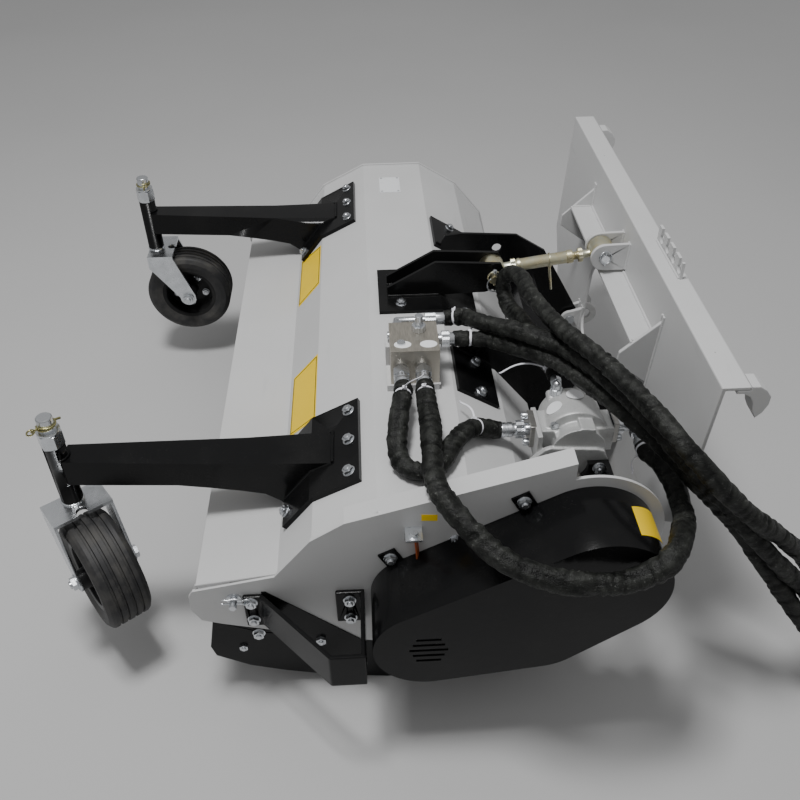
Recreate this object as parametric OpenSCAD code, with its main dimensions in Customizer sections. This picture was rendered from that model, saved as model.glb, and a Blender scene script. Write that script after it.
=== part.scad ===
// Flail mower with a loader quick-hitch, hydraulic drive and two front caster wheels.
// X runs across the mower, towards the belt side. Y runs rearwards, towards the hitch.
// Z is up from the ground.
// The drawing frame has the rotor's axis at y = 0; at_origin() moves it to the middle of the footprint.

/* [Hood] */
// Half the width outside the end plates
half_w = 700; // [600:10:800]
// Thickness of the end plates
plate_t = 6; // [4:1:10]
// Thickness of the hood's folded sheet
skin_t = 5; // [3:1:6]
// Height of the hood's flat top
hood_top = 497; // [480:1:520]
// Height of the rotor's axis
rotor_z = 290; // [280:1:300]
// Height of the near plate's rim where it ends above the guard
rim_high = 599; // [580:1:610]
// Width of the folded rim along the near plate
rim_w = 40; // [20:1:50]

/* [Rotor] */
// Radius swept by the flails
flail_reach = 185; // [160:1:190]
// Radius of the rotor tube
rotor_r = 57; // [45:1:65]
// Radius of the rotor's shaft
shaft_r = 20; // [16:1:22]
// Number of flail stations along the rotor
stations = 22; // [12:2:28]

/* [Belt drive] */
// Place of the motor's shaft behind the rotor's
drive_y = 288; // [280:1:300]
// Height of the motor's shaft
drive_z = 440; // [432:1:446]
// Radius of the pulley on the rotor
small_r = 60; // [50:1:70]
// Radius of the pulley on the motor
large_r = 85; // [75:1:90]
// How far the belt guard stands out from the plate
guard_d = 132; // [120:1:140]

/* [Casters] */
// Distance of each caster's stem from the middle
stem_x = 495; // [450:5:520]
// How far the stems stand in front of the rotor
stem_y = 678; // [640:1:720]
// Radius of the tyre
tyre_r = 118; // [100:1:120]
// Height of the wheel's axle above the ground
axle_z = 224; // [200:1:240]
// How far the wheel trails behind its stem
trail = 75; // [60:1:90]
// Angle to which the near caster has swivelled
near_steer = -54; // [-90:1:90]

/* [Hitch] */
// Half the width of the hitch frame
hitch_w = 600; // [580:5:610]
// Thickness of the hitch plate
hitch_t = 8; // [6:1:10]
// Height of the hitch frame's top flange
hitch_top = 665; // [640:1:680]
// Place of the lower pivots behind the rotor
pivot_y = 462; // [440:1:470]
// Height of the lower pivots
pivot_z = 262; // [240:1:280]

/* [Hidden] */
$fn = 48;

// Clearances: running fit, gap between neighbours that move, and loose play at the open pivot
run_fit = 0.05;
gap = 0.5;
loose = 1.5;

// Widths between the plates
in_x = half_w - plate_t;
guard_x = half_w + guard_d;
guard_t = 3;

// Middle of the footprint in the drawing frame
bumper_out = guard_x + 14;
far_out = half_w + 26;
crown_front = 18;
fork_half = 60;
front_out = stem_y + crown_front * cos(near_steer) - fork_half * sin(near_steer);
hook_out = 604;
mid_x = (bumper_out - far_out) / 2;
mid_y = (hook_out - front_out) / 2;

// Folds of the hood, front to rear, as [y, z]
p1 = [-418, 325];
p2 = [-267, 347];
p3 = [-198, 436];
p4 = [-80, hood_top];
p5 = [84, hood_top];
p6 = [190, 431];
p7 = [270, 332];
hood_line = [[-426, 296], p1, p2, p3, p4, p5, p6, p7, [288, 252]];

// Belt guard outline: front circle, rear circle and the low belly circle, as [y, z, r]
guard_front = [0, rotor_z, 98];
guard_rear = [drive_y, 427, 118];
guard_belly = [190, 320, 98];
plate_round = 139;

// Paint and metal colours
hood_grey = [0.74, 0.73, 0.71];
black = [0.08, 0.08, 0.09];
zinc = [0.75, 0.76, 0.78];
gold = [0.80, 0.72, 0.45];
cast = [0.72, 0.73, 0.72];
steel = [0.55, 0.54, 0.50];
rubber = [0.12, 0.12, 0.12];
sleeve = [0.16, 0.16, 0.17];

// Plane geometry

function unit(v) = v / norm(v);
function left(a, b) = let (d = unit(b - a)) [-d[1], d[0]];
function reversed(p) = [for (i = [len(p) - 1:-1:0]) p[i]];
// The line p moved sideways by t, mitred at its corners
function shifted(p, t) = [for (i = [0:len(p) - 1])
    let (
        n0 = i > 0 ? left(p[i - 1], p[i]) : left(p[0], p[1]),
        n1 = i < len(p) - 1 ? left(p[i], p[i + 1]) : n0
    )
    p[i] + (n0 + n1) * t / (1 + n0 * n1)];

// A sheet of thickness t along the line p
module strip(p, t) polygon(concat(p, reversed(shifted(p, t))));

// The band between two circles' outer tangents
module tangent_quad(a, b, grow) {
    d = [b[0] - a[0], b[1] - a[1]];
    turn = atan2(d[1], d[0]);
    open = acos((a[2] - b[2]) / norm(d));
    ra = a[2] + grow;
    rb = b[2] + grow;
    polygon([
        [a[0] + ra * cos(turn + open), a[1] + ra * sin(turn + open)],
        [b[0] + rb * cos(turn + open), b[1] + rb * sin(turn + open)],
        [b[0] + rb * cos(turn - open), b[1] + rb * sin(turn - open)],
        [a[0] + ra * cos(turn - open), a[1] + ra * sin(turn - open)]
    ]);
}

module disc(c, grow) translate([c[0], c[1]]) circle(r = c[2] + grow, $fn = 72);

// Outline round two pulleys, grown by a margin
module belt_line(grow) {
    disc([0, rotor_z, small_r], grow);
    disc([drive_y, drive_z, large_r], grow);
    tangent_quad([0, rotor_z, small_r], [drive_y, drive_z, large_r], grow);
}

module guard_outline(grow) {
    for (c = [guard_front, guard_rear, guard_belly]) disc(c, grow);
    tangent_quad(guard_front, guard_rear, grow);
    tangent_quad(guard_front, guard_belly, grow);
    tangent_quad(guard_belly, guard_rear, grow);
    polygon([for (c = [guard_front, guard_belly, guard_rear]) [c[0], c[1]]]);
}

// Solid building blocks

// A [y, z] outline extruded from x0 to x1
module slab(x0, x1) translate([x0, 0, 0]) rotate([90, 0, 90]) linear_extrude(x1 - x0) children();
module rod_x(x0, x1, y, z, r) translate([x0, y, z]) rotate([0, 90, 0]) cylinder(h = x1 - x0, r = r);
module rod_y(y0, y1, x, z, r) translate([x, y0, z]) rotate([-90, 0, 0]) cylinder(h = y1 - y0, r = r);
module rod_z(z0, z1, x, y, r) translate([x, y, z0]) cylinder(h = z1 - z0, r = r);
module block(a, b) translate(a) cube(b - a);

// The place s along the slope from a to b, at x, with z outwards from the sheet
module on_slope(a, b, s, x) {
    d = unit(b - a);
    translate([x, a[0] + d[0] * s, a[1] + d[1] * s]) rotate([atan2(d[1], d[0]), 0, 0]) children();
}

bolt_r = 6;
bolt_hole = 6.3;
// A hexagon bolt standing on z = 0 with a washer, its shank going down by grip
module bolt(grip = 10, r = bolt_r) {
    cylinder(h = r * 0.3, r = r * 2.1);
    translate([0, 0, r * 0.3]) cylinder(h = r * 1.2, r = r * 1.8, $fn = 6);
    translate([0, 0, -grip]) cylinder(h = grip, r = r);
}
module face_x(x, y, z) translate([x, y, z]) rotate([0, 90, 0]) children();

// A hexagon along +X or +Y
module hex_x(x0, x1, y, z, r) translate([x0, y, z]) rotate([0, 90, 0]) cylinder(h = x1 - x0, r = r,
    $fn = 6);
module hex_y(y0, y1, x, z, r) translate([x, y0, z]) rotate([-90, 0, 0]) cylinder(h = y1 - y0, r = r,
    $fn = 6);

module at_origin() translate([-mid_x, -mid_y, 0]) children();

// Bolt places

arm_x = 490;
arm_pad_t = 10;
arm_bolt_s = 83;
arm_bolt_dx = [-85, 0, 85];
arm_low_bolt_s = 35;
arm_low_bolt_dx = [-82, 82];
bracket_pad_t = 8;
bracket_pad = [217, 367];
bracket_bolts = [[347, 84], [245, 84]];
clevis_pad_x = 90;
clevis_bolts = [[-60, -6], [60, -6]];
clevis_slope_s = 60;

// Children at each of the arm's bolts, standing on the arm's pad
module arm_bolt_spots(side) {
    for (dx = arm_bolt_dx) on_slope(p3, p4, arm_bolt_s, side * arm_x + dx) translate([0, 0,
        arm_pad_t]) children();
    for (dx = arm_low_bolt_dx) on_slope(p2, p3, arm_low_bolt_s, side * arm_x + dx) translate([0, 0,
        arm_pad_t]) children();
}
module bracket_bolt_spots(side) for (b = bracket_bolts)
    on_slope(p5, p6, b[1] - 20, side * b[0]) translate([0, 0, bracket_pad_t]) children();
module clevis_bolt_spots() {
    for (b = clevis_bolts) translate([b[0], b[1], hood_top + bracket_pad_t]) children();
    for (x = [-60, 60]) on_slope(p5, p6, clevis_slope_s, x) translate([0, 0, bracket_pad_t]) children();
}

drill = 40;
module drill_hood() {
    for (side = [-1, 1]) {
        arm_bolt_spots(side) translate([0, 0, -drill]) cylinder(h = drill * 2, r = bolt_hole);
        bracket_bolt_spots(side) translate([0, 0, -drill]) cylinder(h = drill * 2, r = bolt_hole);
    }
    clevis_bolt_spots() translate([0, 0, -drill]) cylinder(h = drill * 2, r = bolt_hole);
}

// Hood and end plates

module hood_shell() at_origin() color(hood_grey) difference() {
    slab(-in_x, in_x) strip(hood_line, -skin_t);
    drill_hood();
}

// Everything under the hood's outer surface, for trimming what stands on it
module hood_core() slab(-half_w - 1, half_w + 1)
    polygon(concat([[-426, 0]], hood_line, [[288, 0]]));

lip = 5;
plate_low = 138;
// Bumper tab, skid and hairpin places on the plate, as [y, z]
bumper_bolts = [[-320, 286], [-320, 235], [-138, 279], [-138, 227]];
skid_bolts = [[-318, 180], [-200, 151], [60, 158], [160, 158]];
flap_y = -352;
flap_z = 290;
flap_rod_r = 7;
guard_tabs = [[-60, 389], [170, 519]];
bearing_hole = 30;
bearing_bolts = [for (i = [0:3]) [52 * sin(45 + i * 90), rotor_z + 52 * cos(45 + i * 90)]];

module plate_bores() {
    disc([0, rotor_z, bearing_hole], 0);
    disc([flap_y, flap_z, flap_rod_r], 0);
}

module far_plate_shape() difference() {
    polygon([[-440, 262], [-440, 300], p1 + [-14, 8], p2 + [-3, lip], p3 + [-3, lip], p4 + [-1, lip],
        p5 + [1, lip],
        p6 + [3, lip], p7 + [5, 3], [296, 250], [286, 160], [262, plate_low], [-100, plate_low],
            [-165, 150],
        [-382, 214], [-420, 228]]);
    plate_bores();
}

module near_plate_shape() difference() {
    union() {
        polygon([[-436, 262], [-434, 300], [-425, 314], p2 + [-5, -2], p3 + [-3, 1], [-139, 479],
            [254, rim_high],
            [254, 500], [guard_rear[0], guard_rear[1]], [404, 350], [330, 210], [262, plate_low],
            [-100, plate_low],
            [-165, 150], [-382, 214], [-420, 228]]);
        disc([guard_rear[0], guard_rear[1], plate_round], 0);
    }
    plate_bores();
    disc([drive_y, drive_z, 40], 0);
}

module drill_plate(x0, x1) {
    for (b = concat(bumper_bolts, skid_bolts, bearing_bolts)) rod_x(x0, x1, b[0], b[1], bolt_hole);
}

rim_line = [[-139, 479], [254, rim_high]];
module near_end_plate() at_origin() color(hood_grey) difference() {
    union() {
        slab(in_x, half_w) near_plate_shape();
        difference() {
            slab(half_w - rim_w, in_x) strip(rim_line, -plate_t);
            hood_core();
        }
    }
    drill_plate(in_x - 1, half_w + 1);
    for (t = guard_tabs) rod_x(in_x - 1, half_w + 1, t[0], t[1], bolt_hole);
}

module far_end_plate() at_origin() color(hood_grey) difference() {
    slab(-half_w, -in_x) far_plate_shape();
    for (b = concat(skid_bolts, bearing_bolts)) rod_x(-half_w - 1, -in_x + 1, b[0], b[1], bolt_hole);
}

// Skids: flat wear plates inside the end plates, with a turned sole
skid_t = 8;
skid_line = [[-419, 132], [-412, 104], [-348, 64], [-280, 40], [-219, 24], [-131, 8], [-73, 0], [150, 0],
    [196, 12]];
module skid_shape() polygon(concat([[-403, 216]], skid_line, [[205, 40], [205, 190], [-300, 190],
    [-340, 216]]));
module skid(side) mirror([side < 0 ? 1 : 0, 0, 0]) difference() {
    union() {
        slab(in_x - skid_t, in_x) skid_shape();
        slab(in_x - 50, in_x - skid_t) strip([for (i = [2:8]) skid_line[i]], 8);
    }
    for (b = skid_bolts) rod_x(in_x - 60, in_x + 1, b[0], b[1], bolt_hole);
}
module near_skid() at_origin() color(black) skid(1);
module far_skid() at_origin() color(black) skid(-1);

// Bent flat bar that guards the front of the belt guard, as [x, y]
bumper_plan = [[half_w, -335], [half_w, -300], [guard_x + 6, -170], [guard_x + 6, -118], [half_w, -118]];
bumper_low = 214;
bumper_high = 300;
module bumper_guard() at_origin() color(black) difference() {
    union() {
        translate([0, 0, bumper_low]) linear_extrude(bumper_high - bumper_low) strip(bumper_plan, -8);
        block([half_w, -164, bumper_low], [half_w + 8, -118, bumper_high]);
    }
    drill_plate(half_w - 1, half_w + 9);
}

// Caster arms

arm_top = 466;
arm_low = 412;
arm_tip_w = 50;
arm_root_w = 92;
stem_r = 15;
tube_r = 21;
tube_low = 367;
tube_high = 508;

module arm_pad_shape() strip([p2 + unit(p3 - p2) * 24, p3, p3 + unit(p4 - p3) * 104], arm_pad_t);
arm_pad_half = 114;
// The far arm meets the hood a little further towards the middle
function root_shift(side) = side < 0 ? 10 : 0;

// Side view and plan of the box section, then of the gusset that flares out below its root
module arm_side() slab(-60, 60) polygon([[-stem_y - 20, 420], [-stem_y - 20, 480], [-330, arm_top],
    [-110, arm_top], [-110, 350], [-255, 350], [-266, 367], [-295, 387], [-343, 397], [-400, 406],
    [-460, arm_low + 2]]);
module arm_plan(side) translate([0, 0, 340]) linear_extrude(150) polygon([
    [-arm_tip_w / 2, -stem_y + 12], [arm_tip_w / 2, -stem_y + 12],
    [arm_root_w / 2 + root_shift(side), -110], [-arm_root_w / 2 + root_shift(side), -110]]);
module caster_arm(side) translate([side * arm_x, 0, 0]) difference() {
    union() {
        slab(-arm_pad_half, arm_pad_half) arm_pad_shape();
        difference() {
            intersection() {
                arm_side();
                arm_plan(side);
            }
            translate([-side * arm_x, 0, 0]) hood_core();
        }
        rod_z(tube_low, tube_high, side * (stem_x - arm_x), -stem_y, tube_r);
    }
    rod_z(tube_low - 1, tube_high + 1, side * (stem_x - arm_x), -stem_y, stem_r + run_fit);
    translate([-side * arm_x, 0, 0]) arm_bolt_spots(side) translate([0, 0, -drill]) cylinder(h = drill,
        r = bolt_hole);
}
module near_caster_arm() at_origin() color(black) caster_arm(1);
module far_caster_arm() at_origin() color(black) caster_arm(-1);

// Casters: each is drawn about its own stem, trailing along +Y

crown_z = 355;
leg_t = 6;
leg_x = fork_half - leg_t;
axle_r = 8;
module caster_place(side) translate([side * stem_x, -stem_y, 0]) rotate([0, 0,
    side > 0 ? near_steer : 0]) children();

module fork() {
    rod_z(crown_z, 572, 0, 0, stem_r);
    rod_z(crown_z + 8, tube_low - gap, 0, 0, 20);
    difference() {
        translate([0, 0, crown_z]) linear_extrude(8) polygon([
            [-fork_half, -crown_front], [fork_half, -crown_front], [fork_half, 52], [-fork_half, 52]]);
        rod_z(crown_z - 1, crown_z + 9, 0, 44, 12);
    }
    for (m = [0, 1]) mirror([m, 0, 0]) difference() {
        slab(leg_x, leg_x + leg_t) union() {
            polygon([[-crown_front, crown_z], [52, crown_z], [trail + 22, axle_z + 8], [trail, axle_z - 20],
                [trail - 20, axle_z], [-crown_front, crown_z - 28]]);
            translate([trail, axle_z]) circle(r = 22);
        }
        rod_x(leg_x - 1, leg_x + leg_t + 1, trail, axle_z, axle_r);
    }
    // the axle bolt with its head and nut
    rod_x(-leg_x - leg_t, leg_x + leg_t, trail, axle_z, axle_r);
    hex_x(leg_x + leg_t, leg_x + leg_t + 10, trail, axle_z, 14);
    hex_x(-leg_x - leg_t - 10, -leg_x - leg_t, trail, axle_z, 14);
}

// Spacer ring, cap and ring pin above the arm's tube
collar_z = 541;
module stem_collar() {
    difference() {
        rod_z(tube_high + gap, collar_z, 0, 0, 19);
        rod_z(tube_high, collar_z + 1, 0, 0, stem_r);
    }
    difference() {
        rod_z(collar_z + 2, collar_z + 10, 0, 0, 22);
        rod_z(collar_z, collar_z + 11, 0, 0, stem_r);
    }
    translate([0, 0, collar_z + 17]) difference() {
        rotate_extrude() translate([23, 0]) circle(r = 2.5, $fn = 16);
        rod_z(-5, 5, 0, 0, stem_r);
    }
}

rim_r = 76;
hub_r = 22;
// Profile of the rim and hub as [r, x], spun about the axle
module rim_solid() rotate([0, 90, 0]) difference() {
    rotate_extrude($fn = 72) polygon([
        [axle_r + run_fit, -leg_x + gap], [hub_r, -leg_x + gap], [hub_r, -10], [rim_r - 12, -8],
        [rim_r - 10, -38],
        [rim_r, -40], [rim_r, 40], [rim_r - 10, 38], [rim_r - 12, 2], [hub_r, 4], [hub_r, leg_x - gap],
        [axle_r + run_fit, leg_x - gap]]);
}
// Five bolts through the rim's web
module rim_bolts() rotate([0, 90, 0]) for (i = [0:4]) rotate([0, 0, i * 72]) translate([44, 0, -16]) {
    cylinder(h = 26, r = 5);
    cylinder(h = 6, r = 9, $fn = 6);
    translate([0, 0, 20]) cylinder(h = 6, r = 9, $fn = 6);
}
// Tyre with ribs round its tread
module tyre_solid() rotate([0, 90, 0]) rotate_extrude($fn = 72) difference() {
    polygon([[rim_r, -40], [rim_r + 16, -45], [tyre_r - 12, -45], [tyre_r - 3, -39], [tyre_r, -34],
        [tyre_r, 34],
        [tyre_r - 3, 39], [tyre_r - 12, 45], [rim_r + 16, 45], [rim_r, 40]]);
    for (x = [-23, -8, 8, 23]) polygon([[tyre_r + 1, x - 3.5], [tyre_r - 4, x - 2], [tyre_r - 4, x + 2],
        [tyre_r + 1, x + 3.5]]);
}

module near_caster_fork() at_origin() color(zinc) caster_place(1) fork();
module far_caster_fork() at_origin() color(zinc) caster_place(-1) fork();
module near_stem_collar() at_origin() color(zinc) caster_place(1) stem_collar();
module far_stem_collar() at_origin() color(zinc) caster_place(-1) stem_collar();
module wheel_place(side) caster_place(side) translate([0, trail, axle_z]) children();
module near_wheel_rim() at_origin() color(black) wheel_place(1) {
    rim_solid();
    rim_bolts();
}
module far_wheel_rim() at_origin() color(black) wheel_place(-1) {
    rim_solid();
    rim_bolts();
}
module near_tyre() at_origin() color(rubber) wheel_place(1) tyre_solid();
module far_tyre() at_origin() color(rubber) wheel_place(-1) tyre_solid();

// Top link clevis and its pin

link_front = [207, 550];
link_rear = [457, 588];
ear_gap = 21;
ear_t = 8;
link_pin_r = 9.5;
module link_clevis() at_origin() color(black) difference() {
    union() {
        // pad on the flat top that runs on down the rear slope
        slab(-clevis_pad_x, clevis_pad_x) strip([[-57, hood_top], p5, p5 + unit(p6 - p5) * 100],
            bracket_pad_t);
        for (m = [0, 1]) mirror([m, 0, 0]) slab(ear_gap, ear_gap + ear_t) polygon([
            [-36, hood_top + bracket_pad_t], [-36, 528], [73, 590], [222, 581], [236, 556], [230, 524],
            [190, 508],
            [84, hood_top + bracket_pad_t]]);
    }
    rod_x(-40, 40, link_front[0], link_front[1], link_pin_r);
    clevis_bolt_spots() translate([0, 0, -drill]) cylinder(h = drill, r = bolt_hole);
}

// Pin through the clevis, with a head and a ring
module front_link_pin() at_origin() color(gold) {
    rod_x(-44, 50, link_front[0], link_front[1], link_pin_r);
    rod_x(-50, -44, link_front[0], link_front[1], 16);
    // cross pin with its spring ring
    rod_z(link_front[1] - 16, link_front[1] + 20, 42, link_front[0], 3);
    translate([42, link_front[0], link_front[1] + 4]) rotate([0, 90, 0]) rotate_extrude()
        translate([15, 0]) circle(r = 1.6, $fn = 16);
}

// Rear brackets: a pad on the rear slope and a web that carries the lower pivot

web_t = 8;
web_x = 217;
pivot_r = 12;
module rear_bracket(side) mirror([side < 0 ? 1 : 0, 0, 0]) difference() {
    union() {
        slab(bracket_pad[0], bracket_pad[1]) strip([p5 + unit(p6 - p5) * 8, p5 + unit(p6 - p5) * 108],
            bracket_pad_t);
        difference() {
            slab(web_x, web_x + web_t) union() {
                polygon([[100, 470], [118, 520], [161, 525], [301, 516], [377, 468], [490, 268], [462, 234],
                    [300, 300], [270, 310]]);
                translate([pivot_y, pivot_z]) circle(r = 28);
            }
            hood_core();
        }
    }
    rod_x(web_x - 1, web_x + web_t + 1, pivot_y, pivot_z, pivot_r + run_fit);
    rod_x(web_x - 1, web_x + web_t + 1, 252, 481, 12);
    bracket_bolt_spots(1) translate([0, 0, -drill]) cylinder(h = drill, r = bolt_hole);
}
module near_rear_bracket() at_origin() color(black) rear_bracket(1);
module far_rear_bracket() at_origin() color(black) rear_bracket(-1);

// Square tube between the brackets' webs
module rear_cross_tube() at_origin() color(black) difference() {
    block([-web_x, 290, 384], [web_x, 340, 434]);
    block([-web_x - 1, 294, 388], [web_x + 1, 336, 430]);
}

// Motor, its mount and fittings

motor_r = 62;
flange_x = 524;
flange_t = 14;
mount_t = 12;
body_y = drive_y + 18;
body_z = drive_z + 28;
ear_y = 56;
module motor_mount() at_origin() color(black) difference() {
    union() {
        slab(flange_x + flange_t, flange_x + flange_t + mount_t) difference() {
            translate([drive_y - 76, drive_z - 96]) square([152, 106]);
            // upper part behind the motor, with clipped corners
            polygon([[drive_y - 48, drive_z + 9], [drive_y - 48, drive_z + 34],
                [drive_y - 42, drive_z + 40],
                [drive_y + 70, drive_z + 34], [drive_y + 78, drive_z + 26], [drive_y + 76, drive_z + 9]]);
            disc([drive_y, drive_z, 36], 0);
        }
        for (dy = [-76, 66]) block([flange_x + flange_t + mount_t, drive_y + dy, drive_z - 96],
            [in_x, drive_y + dy + 10, drive_z + 10]);
    }
    for (dy = [-ear_y, ear_y]) rod_x(flange_x, flange_x + 60, drive_y + dy, drive_z, bolt_hole);
    hood_core();
}

port_x = 474;
port_y = body_y - motor_r - 14;
module motor_housing() at_origin() color(cast) difference() {
    union() {
        rod_x(flange_x - 14, flange_x, drive_y + 8, drive_z + 12, 60);
        slab(flange_x, flange_x + flange_t) union() {
            disc([drive_y, drive_z, 50], 0);
            translate([drive_y - ear_y, drive_z - 17]) square([2 * ear_y, 34]);
            for (dy = [-ear_y, ear_y]) disc([drive_y + dy, drive_z, 17], 0);
        }
        rod_x(418, flange_x - 14, body_y, body_z, motor_r);
        rod_x(408, 418, body_y, body_z, motor_r - 9);
        // port pads on both sides
        block([port_x - 29, port_y, body_z - 29], [port_x + 29, body_y, body_z + 29]);
        block([port_x - 27, body_y, body_z - 27], [port_x + 27, body_y + motor_r + 10, body_z + 27]);
    }
    // seat of the shaft
    rod_x(flange_x - 20, flange_x + flange_t + 1, drive_y, drive_z, shaft_motor_r + run_fit);
    for (dy = [-ear_y, ear_y]) {
        rod_x(flange_x - 1, flange_x + flange_t + 1, drive_y + dy, drive_z, bolt_hole);
        rod_x(flange_x - 30, flange_x, drive_y + dy, drive_z, 14);
    }
}

feed_y = 165;
elbow_y = 427;
port_z = body_z + 10;
drain_x = 420;
drain_y = 278;
drain_z = 541;
module motor_fittings() at_origin() color(zinc) {
    // feed side: flange, hexagon and ferrule towards the front
    block([port_x - 25, port_y - 12, port_z - 25], [port_x + 25, port_y, port_z + 25]);
    rod_y(feed_y + 20, port_y - 12, port_x, port_z, 12);
    hex_y(feed_y + 28, feed_y + 44, port_x, port_z, 18);
    rod_y(feed_y, feed_y + 22, port_x, port_z, 14);
    // return side: flange, hexagon and an elbow that turns outwards
    block([port_x - 23, body_y + motor_r + 10, port_z - 23], [port_x + 23, body_y + motor_r + 20,
        port_z + 23]);
    rod_y(body_y + motor_r + 20, elbow_y, port_x, port_z, 11);
    hex_y(body_y + motor_r + 20, body_y + motor_r + 34, port_x, port_z, 17);
    translate([port_x, elbow_y, port_z]) sphere(r = 11);
    rod_x(port_x, port_x + 46, elbow_y, port_z, 11);
    hex_x(port_x + 14, port_x + 28, elbow_y, port_z, 16);
    rod_x(port_x + 44, port_x + 62, elbow_y, port_z, 15);
    // drain elbow on top
    difference() {
        hex_z(drain_z - 28, drain_z - 8, drain_x, drain_y, 12);
        rod_x(drain_x - 20, drain_x + 20, body_y, body_z, motor_r);
    }
    rod_z(drain_z - 8, drain_z, drain_x, drain_y, 9);
    translate([drain_x, drain_y, drain_z]) sphere(r = 9);
    rod_x(drain_x - 22, drain_x, drain_y, drain_z, 9);
}
module hex_z(z0, z1, x, y, r) translate([x, y, z0]) cylinder(h = z1 - z0, r = r, $fn = 6);

shaft_motor_r = 16;
module motor_shaft() at_origin() color(steel) rod_x(flange_x - 19, 806, drive_y, drive_z, shaft_motor_r);

// Valve block on its bracket, with fittings

block_lo = [262, -42, 512];
block_hi = [362, 55, 592];
valve_port_z = 552;
module valve_bracket() at_origin() color(hood_grey) {
    block([256, -50, hood_top], [262, 55, block_lo[2] + 30]);
    block([262, -50, block_lo[2] - 4], [366, 58, block_lo[2]]);
    block([360, -50, hood_top], [366, 55, block_lo[2] - 4]);
    block([262, -50, block_lo[2]], [300, -42, 560]);
}
module valve_block() at_origin() color(steel) difference() {
    block(block_lo, block_hi);
    for (y = [-22, 21]) rod_x(340, block_hi[0] + 1, y, valve_port_z, 9);
}
module valve_fittings() at_origin() color(zinc) {
    // two adaptors on the near face
    for (y = [-22, 21]) {
        rod_x(block_hi[0], block_hi[0] + 10, y, valve_port_z, 12);
        hex_x(block_hi[0] + 10, block_hi[0] + 30, y, valve_port_z, 17);
        rod_x(block_hi[0] + 30, block_hi[0] + 56, y, valve_port_z, 15);
    }
    // steel elbow from the far face to the pressure hose
    rod_x(240, block_lo[0], -24, 581, 8);
    hex_x(block_lo[0] - 12, block_lo[0], -24, 579, 11);
    translate([240, -24, 581]) sphere(r = 8);
    rod_y(-24, 34, 240, 581, 8);
    hex_y(34, 56, 240, 581, 15);
    rod_y(56, 74, 240, 583, 13);
    // return port on the rear face
    rod_y(block_hi[1], block_hi[1] + 8, 297, 572, 11);
    hex_y(block_hi[1] + 8, block_hi[1] + 24, 297, 572, 17);
    rod_y(block_hi[1] + 24, block_hi[1] + 34, 297, 572, 13);
    // relief valve and plugs on top
    hex_z(block_hi[2], block_hi[2] + 12, 290, 18, 14);
    rod_z(block_hi[2] + 12, block_hi[2] + 34, 290, 18, 8);
    rod_z(block_hi[2], block_hi[2] + 4, 335, -20, 8);
}

// Belt guard and drive

tab_t = 4;
module guard_tab(t) slab(half_w, half_w + tab_t) translate(t) rotate(29) translate([-17, -34]) square([34,
    50]);
module belt_guard() at_origin() color(black) difference() {
    union() {
        difference() {
            slab(half_w, guard_x) guard_outline(0);
            slab(half_w - 1, guard_x - guard_t) guard_outline(-guard_t);
        }
        difference() {
            for (t = guard_tabs) guard_tab(t);
            slab(half_w - 1, guard_x) guard_outline(-guard_t);
        }
    }
    for (t = guard_tabs) rod_x(half_w - 1, half_w + 10, t[0], t[1], bolt_hole);
    // plain vent slots in the outer face
    for (i = [-2:2]) {
        block([guard_x - 5, -34 + abs(i) * 6, rotor_z + i * 15 - 3], [guard_x + 1, 34 - abs(i) * 6,
            rotor_z + i * 15 + 3]);
    }
}

belt_x = [762, 779, 796];
module pulley(r, bore, y, z) translate([0, y, z]) difference() {
    translate([belt_x[0] - 10, 0, 0]) rotate([0, 90, 0]) cylinder(h = belt_x[2] - belt_x[0] + 20, r = r,
        $fn = 72);
    for (x = belt_x) translate([x - 6, 0, 0]) rotate([0, 90, 0]) difference() {
        cylinder(h = 12, r = r + 1, $fn = 72);
        translate([0, 0, -1]) cylinder(h = 14, r = r - 10, $fn = 72);
    }
    rod_x(belt_x[0] - 11, belt_x[2] + 11, 0, 0, bore);
}
module rotor_pulley() at_origin() color(steel) pulley(small_r, shaft_r, 0, rotor_z);
module motor_pulley() at_origin() color(steel) pulley(large_r, shaft_motor_r, drive_y, drive_z);
module drive_belts() at_origin() color(rubber) for (x = belt_x) slab(x - 5, x + 5) difference() {
    belt_line(gap);
    belt_line(gap - 9);
}

// Idler on the belts' lower run
run_a = [0, rotor_z, small_r];
run_b = [drive_y, drive_z, large_r];
run_turn = atan2(drive_z - rotor_z, drive_y) - acos((small_r - large_r) / norm([drive_y,
    drive_z - rotor_z]));
idler_r = 22;
idler_at = ([0, rotor_z] + [drive_y, drive_z]) / 2
    + [cos(run_turn), sin(run_turn)] * ((small_r + large_r) / 2 + gap * 2 + idler_r);
idler_bolt_r = 7;
module idler_roller() at_origin() color(steel) difference() {
    rod_x(belt_x[0] - 9, belt_x[2] + 9, idler_at[0], idler_at[1], idler_r);
    rod_x(belt_x[0] - 10, belt_x[2] + 10, idler_at[0], idler_at[1], idler_bolt_r + run_fit);
}
module tensioner_arm() at_origin() color(steel) {
    slab(half_w, half_w + 8) union() {
        disc([idler_at[0], idler_at[1], 16], 0);
        disc([idler_at[0] - 86, idler_at[1] + 8, 16], 0);
        tangent_quad([idler_at[0] - 86, idler_at[1] + 8, 16], [idler_at[0], idler_at[1], 16], 0);
    }
    rod_x(half_w + 8, belt_x[0] - 9 - gap, idler_at[0], idler_at[1], 12);
    rod_x(belt_x[0] - 9 - gap, belt_x[2] + 9 + gap, idler_at[0], idler_at[1], idler_bolt_r);
    rod_x(belt_x[2] + 9 + gap, belt_x[2] + 15, idler_at[0], idler_at[1], 12);
}

// Bearings, rotor and flails

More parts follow.
